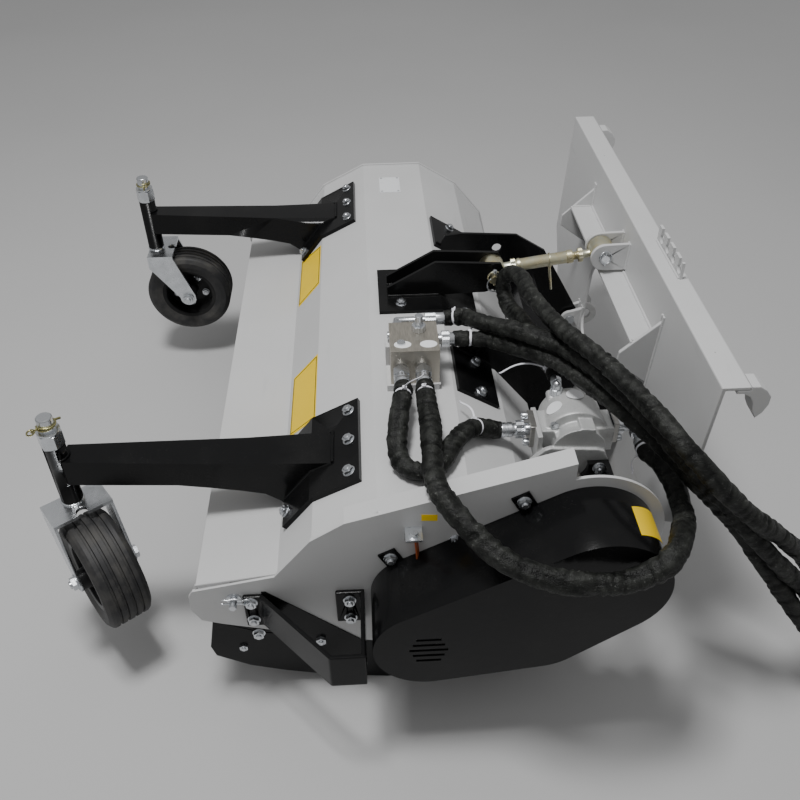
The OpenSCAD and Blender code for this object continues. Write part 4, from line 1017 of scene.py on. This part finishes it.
@dataclass
class HoodTrim:
    """Blank films, the silver plate, the welds, a painted-shadow sheet and the small parts on the near end plate."""

    film: float = 0.5

    def films(self) -> None:
        """Lay a blank film beside each arm, with a dark line inside its edge."""
        place = on_slope(FRONT_SLOPE, 0, 0)
        for name, corners in (("near_film", [(133, 12), (334, 12), (368, 111), (146, 111)]),
                              ("far_film", [(-396, 10), (-168, 10), (-158, 106), (-350, 106)])):
            mould = Mould(name)
            mould.plate(place, corners, 0.0, self.film)
            mould.cast("mower", Look.YELLOW)
            edge = Mould(name + "_line")
            middle = Vector((sum(c[0] for c in corners) / 4, sum(c[1] for c in corners) / 4))
            inner = [middle + (Vector(c) - middle) * 0.93 for c in corners]
            edge.tube([place @ Vector((*c, self.film)) for c in inner], 1.0, 6, flat=(2.4, 0.6), ring=True)
            edge.cast("mower", Look.BLACK_FILM)

    def rim_film(self) -> None:
        """Lay a small blank film on the near end plate's rim."""
        mould = Mould("rim_film")
        mould.plate(aimed((HOOD_SIDE, 0, 0), ACROSS), [(-5, 479), (23, 477), (23, 492), (-5, 494)], 0.0, self.film)
        mould.cast("mower", Look.YELLOW)

    def silver_plate(self) -> None:
        """Rivet the blank silver plate to the hood's top."""
        mould = Mould("silver_plate")
        mould.plate(aimed((0, 0, TOP_Z), UPWARDS), [(-610, -36), (-516, -36), (-516, 22), (-610, 22)], 0.0, 1.2)
        mould.cast("mower", Look.SILVER, bevel=0.3)
        rivets = Mould("plate_rivets")
        for x in (-604, -522):
            for y in (-30, 16):
                place = aimed((x, y, TOP_Z + 1.2), UPWARDS)
                rivets.turned(place, [(3.2, -0.5), (3.1, 0.6), (1.8, 1.5), (0.3, 1.8)], 16)
        rivets.cast("mower", Look.ZINC)

    def guard_film(self) -> None:
        """Wrap a blank film round the rear of the guard."""
        mould = Mould("guard_film")
        rows, steps = [], 12
        inside, outside = 118.0, 118.6
        for k in range(steps + 1):
            share = k / steps
            a = math.radians(28 + 36 * share)
            low, high = 737 - 30 * share, 800 - 24 * share
            rows.append([Vector((x, 288 + r * math.sin(a), 427 + r * math.cos(a))) for x, r in
                         ((low, inside), (high, inside), (high, outside), (low, outside))])
        mould.loft(rows)
        mould.cast("mower", Look.YELLOW)

    def welds(self) -> None:
        """Weld the hood to its end plates along every fold, and part of the way down the last."""
        mould = Mould("hood_welds")
        for x in (-692.5, 692.5):
            for fold, (a, b) in enumerate(zip(FOLDS, FOLDS[1:])):
                reach = math.dist(a, b) * (0.6 if fold == len(FOLDS) - 2 else 1)
                ends = [on_slope(fold, spot, x, -0.8).translation for spot in (0, reach)]
                mould.bead(ends, 2.6, fold + int(x))
        mould.cast("mower", Look.HOOD)

    def bumper_shadow_sheet(self) -> None:
        """Set a thin black sheet on the near end plate as a painted shadow of the bumper, between the bumper's front
        bracket and the skid.
        """
        # A black sheet painted where the bumper casts its shadow on the near end plate.
        outline = [(-300, 306), (-292, 306), (-123, 146), (-125, 100), (-190, 100), (-246, 190), (-300, 250)]
        mould = Mould("bumper_shadow_sheet")
        mould.plate(aimed((HOOD_SIDE + 0.3, 0, 0), ACROSS), outline, 0.0, 1.8)
        mould.cast("mower", Look.GLOSS)

    def latch(self) -> None:
        """Hang the orange strap below the guard's latch."""
        mould = Mould("latch_strap")
        mould.tube([(712, -16, 462), (709, -15, 448), (706, -14, 434), (705, -13, 420), (706, -12, 404),
                    (709, -11, 388)], 1.0, 8, flat=(3.0, 13.0))
        mould.cast("mower", Look.ORANGE, bevel=0.4)
        screw = Mould("latch_fixings")
        screw.bolt(aimed((704, -19, 447), ACROSS), 4.0, 4.0)
        screw.bolt(aimed((HOOD_SIDE, 56, 427), ACROSS), 5.5, 4.0, dome=True)
        screw.cast("mower", Look.ZINC)

    def make(self) -> None:
        """Make the trim."""
        self.films()
        self.silver_plate()
        self.rim_film()
        self.guard_film()
        self.welds()
        self.bumper_shadow_sheet()
        self.latch()


@dataclass
class Arms:
    """Welds of the caster arms, and the clips of the front rod.

    Attributes:
        tip_y: Place of the arms' narrow end.
        root_y: Place of their wide end.
        top: Height of their top face.
        far_shift: How far the far arm's wide end is set towards the middle.
        rod: y and z of the front rod's axis.
    """

    tip_y: float = -666.0
    root_y: float = -110.0
    top: float = 466.0
    far_shift: float = 10.0
    rod: tuple[float, float] = (-352, 290)

    def along(self, y: float) -> float:
        """Give how far a place lies from the narrow to the wide end, as a share."""
        return (y - self.tip_y) / (self.root_y - self.tip_y)

    def middle(self, side: int, y: float) -> float:
        """Give the place across of an arm's middle line."""
        return side * ARM_X + (self.far_shift * self.along(y) if side < 0 else 0.0)

    def welds(self) -> None:
        """Run a bead round each arm where it meets its pad."""
        mould = Mould("arm_welds")
        for side in (-1, 1):
            for hand in (-1, 1):
                line = [(self.middle(side, y) + hand * (25.0 + 21.0 * self.along(y)), y, z)
                        for y, z in ((-162, self.top), (-204, 444.5), (-258, 374))]
                mould.bead(line, 3.4, side + hand + 5)
            across = self.middle(side, -161)
            mould.bead([(across - 43, -161, self.top + 1), (across + 43, -161, self.top + 1)], 3.4, side + 12)
            for z in (481, 419):
                ring = [(side * STEM_X + 21.6 * math.cos(a), STEM_Y + 21.6 * math.sin(a), z)
                        for a in around(11, 20, 14)]
                mould.bead(ring, 2.6, side + int(z))
        mould.cast("mower", Look.GLOSS)

    def rod_clip(self) -> None:
        """Bend the hairpin clip through the front rod's end."""
        x = 712
        y, z = self.rod
        mould = Mould("rod_clip")
        loop = [(x, y + 25 + 8 * math.cos(a), z + 2 + 8 * math.sin(a)) for a in around(26, -150, 12)]
        straight = [(x, y - 22, z), (x, y + 2, z)]
        sprung = [(x, y + 14, z + 10), (x, y + 2, z + 12.5), (x, y - 10, z + 9), (x, y - 19, z + 12)]
        mould.tube(straight + loop + sprung, 1.9, 8)
        mould.cast("mower", Look.ZINC, smooth=60.0)
        cap = Mould("rod_end")
        for side, reach in ((1, 721), (-1, 717)):
            cap.turned(aimed((side * reach, y, z), (side, 0, 0)), [(7.2, 0), (7.2, 2.0), (6.2, 3.0)], 24)
        cap.cast("mower", Look.ZINC)

    def make(self) -> None:
        """Make the welds and the clips."""
        self.welds()
        self.rod_clip()


@dataclass
class Caster:
    """Small parts of one caster: its spacer, top pin, welds, axle ends and rim bolts.

    Attributes:
        side: "near" or "far".
        x: Place of its stem across the mower.
        steer: How far it has swivelled, in degrees.
        axle: y and z of its axle about the stem.
    """

    side: str
    x: float
    steer: float
    axle: tuple[float, float] = (75, 224)

    def stem_parts(self, here: Matrix) -> None:
        """Set the hexagonal spacer, the cap and the ring pin on the stem."""
        spacer = Mould(self.side + "_stem_spacer")
        spacer.hexagon(here, 23.6, 508.8, 541.0, both=True)
        spacer.turned(here, [(15.4, 541.0), (21.6, 541.6), (22.0, 542.2), (22.0, 545.0), (21.4, 545.8),
                             (15.4, 546.0)], 40)
        spacer.turned(here, [(15.1, 545.8), (15.1, 572.4), (14.6, 574.0), (13.2, 575.2)], 40)
        spacer.cast(self.side + "_caster", Look.ZINC, [self.side + "_stem_collar"])
        clip = Mould(self.side + "_stem_clip")
        for z, tilt, big, small, sweep in ((556, 7, 17.2, 1.8, 360.0), (560, -6, 17.6, 1.6, 230.0)):
            lean = Matrix.Translation((0, 0, z)) @ Matrix.Rotation(math.radians(tilt), 4, "Y")
            clip.hoop(here @ lean, big, small, sweep)
        pin = ((-29, -8, 552), (-14, -4, 557), (0, 0, 558), (14, 4, 559), (30, 9, 560))
        clip.tube([here @ Vector(p) for p in pin], 2.4, 10)
        clip.hoop(here @ Matrix.Translation((31, 9, 560)) @ Matrix.Rotation(math.radians(78), 4, "X"), 7.0, 1.7)
        clip.cast(self.side + "_caster", Look.OLIVE, smooth=60.0)

    def fork_parts(self, here: Matrix) -> None:
        """Weld the stem to the fork and set the heads of the axle."""
        welds = Mould(self.side + "_fork_welds")
        ring = around(40) + [math.tau]
        welds.bead([here @ Vector((20.6 * math.cos(a), 20.6 * math.sin(a), 363.4)) for a in ring], 2.4, 6)
        welds.cast(self.side + "_caster", Look.ZINC)
        axle = Mould(self.side + "_axle_ends")
        for hand in (-1, 1):
            spot = aimed(here @ Vector((hand * 60, *self.axle)), here.to_3x3() @ Vector((hand, 0, 0)))
            axle.turned(spot, [(17.5, 0.0), (17.5, 1.8), (16.8, 2.2)], 32)
            axle.hexagon(spot, 14.4, 2.0, 10.4)
            if hand > 0:
                axle.turned(spot, [(8.0, 10.0), (8.0, 13.4), (7.0, 14.4)], 24)
        axle.cast(self.side + "_caster", Look.ZINC)

    def rim_bolts(self, here: Matrix) -> None:
        """Set the bolts and nuts that clamp the two halves of the rim."""
        mould = Mould(self.side + "_rim_fixings")
        hub = here @ Matrix.Translation((0, *self.axle))
        for a in around(5, 180, 72):
            for hand, reach in ((-1, -16), (1, 10)):
                foot = hub @ Vector((reach, 44 * math.sin(a), 44 * math.cos(a)))
                spot = aimed(foot, hub.to_3x3() @ Vector((hand, 0, 0)))
                mould.turned(spot, [(10.4, -6.4), (10.4, -5.2), (10.0, -5.0)], 24)
                mould.hexagon(spot, 9.5, -5.2, 0.8)
                mould.turned(spot, [(5.0, 0.0), (5.0, 3.0), (4.2, 4.0)], 20)
        mould.cast(self.side + "_wheel", Look.ZINC)

    def make(self) -> None:
        """Make the caster's small parts."""
        here = Matrix.Translation((self.x, STEM_Y, 0)) @ Matrix.Rotation(math.radians(self.steer), 4, "Z")
        self.stem_parts(here)
        self.fork_parts(here)
        self.rim_bolts(here)


@dataclass
class TopLink:
    """Lock nuts, ring pins and welds of the top link and its clevis.

    Attributes:
        front: y and z of the pin through the clevis.
        rear: y and z of the pin through the hitch's ears.
    """

    front: tuple[float, float] = (207.0, 550.0)
    rear: tuple[float, float] = (457.0, 588.0)

    def clevis_parts(self) -> None:
        """Weld the clevis's ears to their base and hang the big ring on the front pin."""
        mould = Mould("clevis_welds")
        for x in (-29.5, -20.5, 20.5, 29.5):
            mould.bead([(x, -36, 506), (x, 82, 506)], 3.2, int(x) + 40)
        mould.cast("mower", Look.GLOSS)
        y, z = self.front
        ring = Mould("linch_ring")
        ring.hoop(aimed((47.0, y, z - 12), (1.0, 0.15, 0.1)), 17.0, 1.7)
        ring.turned(aimed((42, y, z + 16), UPWARDS), [(4.6, 0.0), (5.0, 2.0), (4.6, 7.0), (2.0, 8.0)], 20)
        ring.cast("mower", Look.ZINC, smooth=60.0)

    def sleeve_parts(self) -> None:
        """Add the collars, lock nuts, thread and handle eye of the turning sleeve."""
        run = Vector((0, self.rear[0] - self.front[0], self.rear[1] - self.front[1])).normalized()
        place = aimed((0, *self.front), run)
        mould = Mould("sleeve_parts")
        mould.hexagon(place, 17.4, 43.6, 54.2, both=True)
        for low, high in ((58, 66), (172, 185)):
            mould.turned(place, [(14.1, low), (15.6, low + 1), (15.6, high - 1), (14.1, high)], 32)
        mould.hoop(place @ Matrix.Translation((0, 0, 132)) @ Matrix.Rotation(math.radians(8), 4, "X"), 15.3, 1.7)
        mould.cast("link", Look.GOLD, smooth=50.0)
        thread = Mould("link_thread")
        thread.turned(place, [(9.0 + 0.7 * (k % 2), 187.0 + k * 1.3) for k in range(9)], 24)
        thread.hexagon(place, 16.4, 197.8, 208.2, both=True)
        thread.cast("link_screw", Look.GOLD)

    def rear_clip(self) -> None:
        """Fit the rear pin's linch clip."""
        y, z = self.rear
        mould = Mould("rear_link_clip")
        mould.tube([(36, y, z - 17), (36, y, z + 17)], 2.4, 10)
        mould.hoop(aimed((37.5, y, z + 4), (1.0, 0.1, 0.2)), 14.0, 1.5)
        mould.cast("hitch", Look.ZINC, smooth=60.0)

    def make(self) -> None:
        """Make the link's small parts."""
        self.clevis_parts()
        self.sleeve_parts()
        self.rear_clip()


# A hexagon on a fitting: its foot, its direction, the radius of its corners, and its two heights
HEXAGONS = (
    ((250, -24, 579), ACROSS, 11.6, 0.0, 12.2),
    ((240, 34, 581), REARWARDS, 15.6, -0.3, 22.2),
    ((297, 63, 572), REARWARDS, 17.6, -0.2, 16.2),
    ((290, 18, 592), UPWARDS, 14.6, 0.0, 12.4),
    ((474, 193, 478), REARWARDS, 18.6, -0.2, 16.2),
    ((474, 388, 478), REARWARDS, 17.6, 0.0, 14.4),
    ((488, 427, 478), ACROSS, 16.6, -0.2, 14.4),
    ((420, 278, 513), UPWARDS, 12.5, 0.5, 20.3),
    ((414, 278, 541), (-1, 0, 0), 11.2, 0.0, 10.0),
)


@dataclass
class Drive:
    """The motor's casting and screws, the blank ovals, and the fittings' small parts.

    Attributes:
        body: y and z of the axis of the motor's bell.
        port: x and z of the ports on the motor's two sides.
        block_top: Height of the valve block's top.
    """

    body: tuple[float, float] = (306.0, 468.0)
    port: tuple[float, float] = (474.0, 478.0)
    block_top: float = 592.0

    def motor_body(self) -> None:
        """Cast the motor's bell with its pads, lugs and foot as one soft-cornered piece."""
        y, z = self.body
        axis = aimed((0, y, z), ACROSS)
        mould = Mould("motor_casting")
        mould.turned(axis, [(20, 404), (46, 405), (56, 410), (60, 420), (61.5, 445), (64, 475), (65, 492),
                            (64, 497)], 56)
        mould.turned(axis, [(40, 480), (46, 496), (47, 514), (52, 531)], 48)
        for a in around(6, 12, 60):
            mould.turned(aimed((404, y + 55 * math.cos(a), z + 55 * math.sin(a)), ACROSS), [(8, 0), (9, 24)], 16)
        foot = [(214, 430), (224, 420), (250, 398), (288, 390), (326, 398), (352, 420), (363, 430), (362, 452),
                (354, 470), (340, 475), (250, 482), (240, 478), (214, 452)]
        mould.plate(SIDE_VIEW, foot, 527, 537.6)
        # ribs and port blocks: y and z of the corners, then the reach across
        for outline, low, high in (([(305, 466), (333, 462), (333, 519), (305, 522)], 494, 531),
                                   ([(262, 466), (284, 466), (284, 500), (262, 496)], 494, 522),
                                   (oblong(230, 306, 438, 498), 444, 506),
                                   (oblong(226, 236, 432, 504), 440, 528),
                                   (oblong(306, 378.5, 440, 496), 446, 503)):
            mould.plate(SIDE_VIEW, outline, low, high)
        mould.melt(1.5, 4)
        mould.cast("mower", Look.ALLOY, ["motor_housing"], smooth=80.0)

    def motor_parts(self) -> None:
        """Add the motor's port flanges, screws, plugs and bent pipe."""
        x, z = self.port
        flanges = Mould("port_flanges")
        flanges.plate(SIDE_VIEW, oblong(217, 230.5, 452, 504), 448, 500)
        flanges.plate(SIDE_VIEW, oblong(378, 389, 454, 502), 450, 498)
        flanges.cast("mower", Look.STEEL, bevel=1.5)
        screws = Mould("motor_screws")
        for dz in (-18, 18):
            for dx in (-18, 18):
                screws.turned(aimed((x + dx, 217, z + dz), (0, -1, 0)),
                              [(7.2, -1.0), (7.2, 9.0), (6.2, 10.4), (3.9, 10.4), (3.5, 5.0)], 24)
                screws.turned(aimed((x + dx * 0.94, 389, z + dz * 0.94), REARWARDS),
                              [(6.6, -1.0), (6.6, 8.0), (5.6, 9.4), (3.5, 9.4), (3.2, 4.0)], 24)
        for spot in ((496, 262, 506), (496, 350, 486)):
            screws.hexagon(aimed(spot, ACROSS), 8.0, -1.0, 6.0)
        screws.bolt(aimed((550, 250, 466), ACROSS), 5.0, 3.0)
        pipe = ((x, 400), (x, 413), (476.5, 421), (482, 426), (490, 427.5), (502, 427))
        screws.tube([(*spot, z) for spot in pipe], 12.2, 20)
        screws.cast("mower", Look.ZINC, smooth=50.0)

    def ovals(self) -> None:
        """Stick the blank white ovals on the motor and on the block."""
        mould = Mould("white_ovals")
        for x, y in ((339, -17), (340, 34)):
            shape = [(x + 12 * math.cos(a), y + 17 * math.sin(a)) for a in around(32)]
            mould.plate(aimed((0, 0, self.block_top), UPWARDS), shape, 0.0, 0.6)
        y, z = self.body
        for x, turn in ((462, -38), (440, 4)):
            rows = []
            for lift in (64.0, 65.3):
                bent = [(a, math.radians(turn) + 0.27 * math.sin(a)) for a in around(28)]
                rows.append([Vector((x + 14 * math.cos(a), y + lift * math.sin(b), z + lift * math.cos(b)))
                             for a, b in bent])
            mould.loft(rows)
        mould.cast("mower", Look.WHITE)

    def fittings(self) -> None:
        """Give the fittings their chamfered nuts and swaged collars."""
        mould = Mould("fitting_nuts")
        for y in (-22, 21):
            place = aimed((362, y, 552), ACROSS)
            mould.hexagon(place, 17.6, 9.6, 30.2, both=True)
            mould.hexagon(place, 16.0, 31.5, 41.0, both=True)
            mould.turned(place, [(15.2, 42), (15.8, 43), (15.8, 47), (14.6, 48), (14.6, 56)], 32)
        for foot, along, corner, low, high in HEXAGONS:
            mould.hexagon(aimed(foot, along), corner, low, high, both=True)
        ribs = [(8.2 if z % 2 == 0 else 7.0, z) for z in range(16, 23)]
        mould.turned(aimed((290, 18, self.block_top), UPWARDS), [(8.2, 12), *ribs, (8.2, 34), (6.8, 35.4)], 24)
        mould.turned(aimed((335, -20, self.block_top), UPWARDS),
                     [(8.4, 0), (8.4, 3.6), (7.6, 4.6), (4.2, 4.6), (3.8, 1.6)], 24)
        mould.turned(aimed((520, 427, 478), ACROSS),
                     [(15.2, -1), (15.6, 1), (15.6, 5), (14.4, 6), (15.6, 8), (15.6, 14), (14.8, 16)], 32)
        mould.turned(aimed((474, 165, 478), REARWARDS),
                     [(14.6, 2), (14.6, 8), (13.4, 9), (13.4, 12), (14.6, 13), (14.6, 20)], 32)
        mould.cast("mower", Look.ZINC)
        plug = Mould("block_plugs")
        plug.turned(aimed((281, -42, 574), (0, -1, 0)),
                    [(8.0, -0.5), (8.0, 3.0), (7.2, 3.8), (4.0, 3.8), (3.6, 1.0)], 24)
        plug.cast("mower", Look.ZINC)

    def make(self) -> None:
        """Make the drive's small parts."""
        self.motor_body()
        self.motor_parts()
        self.ovals()
        self.fittings()


@dataclass
class Hitch:
    """Welds of the quick-hitch frame and of the rear brackets."""

    def on_face(self, x: float, z: float, inset: float = 0.5) -> Place:
        """Give a place on the leaning front face of the hitch's plate."""
        return x, 484.0 + 29.0 * (z - 110.0) / 547.0 - inset, z

    def frame_welds(self) -> None:
        """Run the beads of gussets, shelf, ears, lugs, comb and hooks."""
        mould = Mould("hitch_welds")
        for x in (-304.5, -295.5, 295.5, 304.5):
            mould.bead([self.on_face(x, z) for z in (610, 434)], 3.6, int(x) + 400)
        for z in (540.5, 549.5):
            mould.bead([self.on_face(x, z, 1) for x in (-292, 292)], 3.4, int(z))
        for x in (-295.5, 295.5):
            for z in (540.5, 549.5):
                mould.bead([(x, 456, z), (x, 500, z)], 3.0, int(z + x))
        for x in (-32.5, -22.5, 22.5, 32.5):
            mould.bead([self.on_face(x, z) for z in (622, 558)], 3.2, int(x) + 60)
        for hand in (-1, 1):
            for x in (200.5, 211.5, 230.5, 241.5):
                mould.bead([self.on_face(hand * x, z) for z in (300, 224)], 3.2, int(x) + hand)
            for x in (330, 342, 390, 402):
                mould.bead([(hand * x, 499.5, 236), (hand * x, 496, 146)], 3.0, x + hand)
        mould.bead([(96, 543.5, 665.8), (252, 543.5, 665.8)], 2.8, 77)
        for x in (561.4, -499.4, -538.6):
            mould.bead([(x, 543, 655.8), (x, 563, 655.8)], 2.8, int(x) + 600)
        mould.cast("hitch", Look.HOOD)

    def bracket_welds(self) -> None:
        """Run the beads of the rear brackets and the tube between them."""
        mould = Mould("bracket_welds")
        for hand in (-1, 1):
            x = 225.5
            ends = [on_slope(REAR_SLOPE, reach, hand * x, 8.6).translation for reach in (10, 106)]
            mould.bead(ends, 3.4, int(x) + hand)
            for z in (384, 434):
                mould.bead([(hand * 216.6, 292, z), (hand * 216.6, 338, z)], 3.0, z + hand)
        mould.cast("mower", Look.GLOSS)

    def make(self) -> None:
        """Weld the frame and the brackets."""
        self.frame_welds()
        self.bracket_welds()


NODE_LOOKS: dict[Look, str] = {
    Look.HOOD: "hood_shell near_end_plate far_end_plate hitch_frame hitch_gussets link_ears pivot_lugs lock_eyes"
               " hitch_hooks coupler_comb valve_bracket",
    Look.GLOSS: "near_skid far_skid bumper_guard near_caster_arm far_caster_arm link_clevis near_rear_bracket"
                " far_rear_bracket rear_cross_tube motor_mount belt_guard roller_hangers",
    Look.RIM: "near_wheel_rim far_wheel_rim",
    Look.SATIN: "rotor_tube rear_roller",
    Look.ZINC: "motor_fittings valve_fittings flap_rod guard_latch flail_bolts near_caster_fork far_caster_fork"
               " near_stem_collar far_stem_collar hitch_pins hood_bolts plate_bolts hose_couplers",
    Look.GOLD: "turnbuckle_sleeve turnbuckle_eye front_link_pin",
    Look.ALLOY: "motor_housing",
    Look.BLOCK: "valve_block",
    Look.STEEL: "tensioner_arm near_bearing far_bearing rotor_pulley motor_shaft motor_pulley idler_roller",
    Look.BLADE: "flails",
    Look.FLAP: "rear_flap front_flap",
    Look.TYRE: "near_tyre far_tyre",
    Look.BELT: "drive_belts",
    Look.SLEEVE: "pressure_hose return_hose drain_hose motor_feed_hose motor_return_hose",
}
# Nodes by the width of their rounded edges
NODE_EDGES: dict[float, str] = {
    3.0: "near_end_plate hitch_frame",
    2.5: "near_caster_arm far_caster_arm bumper_guard",
    1.6: "hitch_gussets link_ears pivot_lugs lock_eyes hitch_hooks link_clevis near_rear_bracket far_rear_bracket"
         " rear_cross_tube belt_guard motor_mount valve_block near_caster_fork far_caster_fork near_skid far_skid",
    1.0: "far_end_plate valve_bracket coupler_comb motor_housing motor_fittings valve_fittings near_wheel_rim"
         " far_wheel_rim turnbuckle_sleeve turnbuckle_eye near_stem_collar far_stem_collar guard_latch hitch_pins"
         " front_link_pin",
}
WELD_REACH = 0.00001


def dress_nodes(nodes: dict[str, bpy.types.Object]) -> None:
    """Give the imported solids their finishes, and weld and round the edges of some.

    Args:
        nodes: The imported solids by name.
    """
    for look, names in NODE_LOOKS.items():
        for name in names.split():
            data = nodes[name].data
            if not data.materials:
                data.materials.append(None)
            for i in range(len(data.materials)):
                data.materials[i] = look.value.material()
            log.info("%s: %s", name, look.value.name)
    for width, names in NODE_EDGES.items():
        for name in names.split():
            weld = nodes[name].modifiers.new("weld", "WELD")
            weld.merge_threshold = WELD_REACH
            round_edges(nodes[name], width)


@dataclass
class Studio:
    """Camera, floor and soft light.

    Attributes:
        position: The camera's place, in metres.
        azimuth: Where it stands round the mower, in degrees.
        elevation: How steeply it looks down, in degrees.
        roll: How far it leans, in degrees.
        lens: Its focal length for a sensor of 36 mm.
        floor_reach: Half the floor's width, in metres.
        glow: Brightness of the surroundings at the horizon and overhead.
        lamp_power: Power of the lamp, in watts.
    """

    position: Place = (1.6418, -0.01467, 1.5847)
    azimuth: float = 87.583
    elevation: float = 39.728
    roll: float = -0.775
    lens: float = 38.58
    floor_reach: float = 30.0
    glow: tuple[float, float] = (0.24, 0.44)
    lamp_power: float = 114.0

    def camera(self) -> None:
        """Set the camera at the photograph's viewing angle."""
        az, el, roll = (math.radians(v) for v in (self.azimuth, self.elevation, self.roll))
        back = Vector((math.sin(az) * math.cos(el), -math.cos(az) * math.cos(el), math.sin(el)))
        right = Vector((math.cos(az), math.sin(az), 0.0))
        up = back.cross(right)
        c, s = math.cos(roll), math.sin(roll)
        right, up = right * c + up * s, up * c - right * s
        data = bpy.data.cameras.new("camera")
        data.lens = self.lens
        data.sensor_width = 36.0
        data.clip_end = 100.0
        camera = in_scene("camera", data)
        camera.matrix_world = Matrix.Translation(self.position) @ Matrix((right, up, back)).transposed().to_4x4()
        bpy.context.scene.camera = camera

    def lamp(self, place: Place, target: Place, size: float) -> None:
        """Hang a soft square lamp that looks at a place."""
        data = bpy.data.lights.new("key", "AREA")
        data.shape = "SQUARE"
        data.size = size
        data.energy = self.lamp_power
        lamp = in_scene("key", data)
        lamp.location = place
        lamp.rotation_euler = (Vector(target) - Vector(place)).to_track_quat("-Z", "Y").to_euler()

    def floor(self) -> None:
        """Lay the plain pale floor."""
        data = bpy.data.meshes.new("floor")
        reach = self.floor_reach
        corners = [(-reach, -reach, 0), (reach, -reach, 0), (reach, reach, 0), (-reach, reach, 0)]
        data.from_pydata(corners, [], [(0, 1, 2, 3)])
        floor = in_scene("floor", data)
        net = Net("pale_floor")
        shade = net.blend(net.window(net.clouds(0.6, 3.0), 0.3, 0.7), (0.5, 0.5, 0.5), (0.53, 0.53, 0.53))
        data.materials.append(net.close({"Base Color": shade, "Roughness": 0.75 + 0.1 * net.clouds(3.0)}))

    def world(self) -> None:
        """Light the surroundings softly, a little brighter overhead."""
        world = bpy.data.worlds.new("studio")
        world.use_nodes = True
        bpy.context.scene.world = world
        tree = world.node_tree
        tree.nodes.clear()
        where, split, strength, background, output = (tree.nodes.new("ShaderNode" + kind) for kind in (
            "TexCoord", "SeparateXYZ", "MapRange", "Background", "OutputWorld"))
        for socket, value in zip(strength.inputs[1:5], (0.0, 0.8, *self.glow)):
            socket.default_value = value
        background.inputs[0].default_value = (1.0, 1.0, 1.0, 1.0)
        for source, goal in ((where.outputs["Generated"], split.inputs[0]), (split.outputs[2], strength.inputs[0]),
                             (strength.outputs[0], background.inputs[1]), (background.outputs[0], output.inputs[0])):
            tree.links.new(source, goal)

    def make(self) -> None:
        """Set the floor and the lights up."""
        self.floor()
        self.world()
        self.lamp((0.6, -0.5, 3.95), (0.0, 0.0, 0.3), 0.75)


def main() -> None:
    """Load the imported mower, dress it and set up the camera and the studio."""
    logging.basicConfig(level=logging.INFO, format="%(message)s")
    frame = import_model()
    studio = Studio()
    studio.camera()
    for hose in HOSES:
        hose.make()
    dress_nodes(frame["nodes"])
    for part in (Fasteners(), HoodTrim(), Arms(), Caster("near", STEM_X, -54.0), Caster("far", -STEM_X, 0.0),
                 TopLink(), Drive(), Hitch(), studio):
        part.make()


if __name__ == "__main__":
    main()
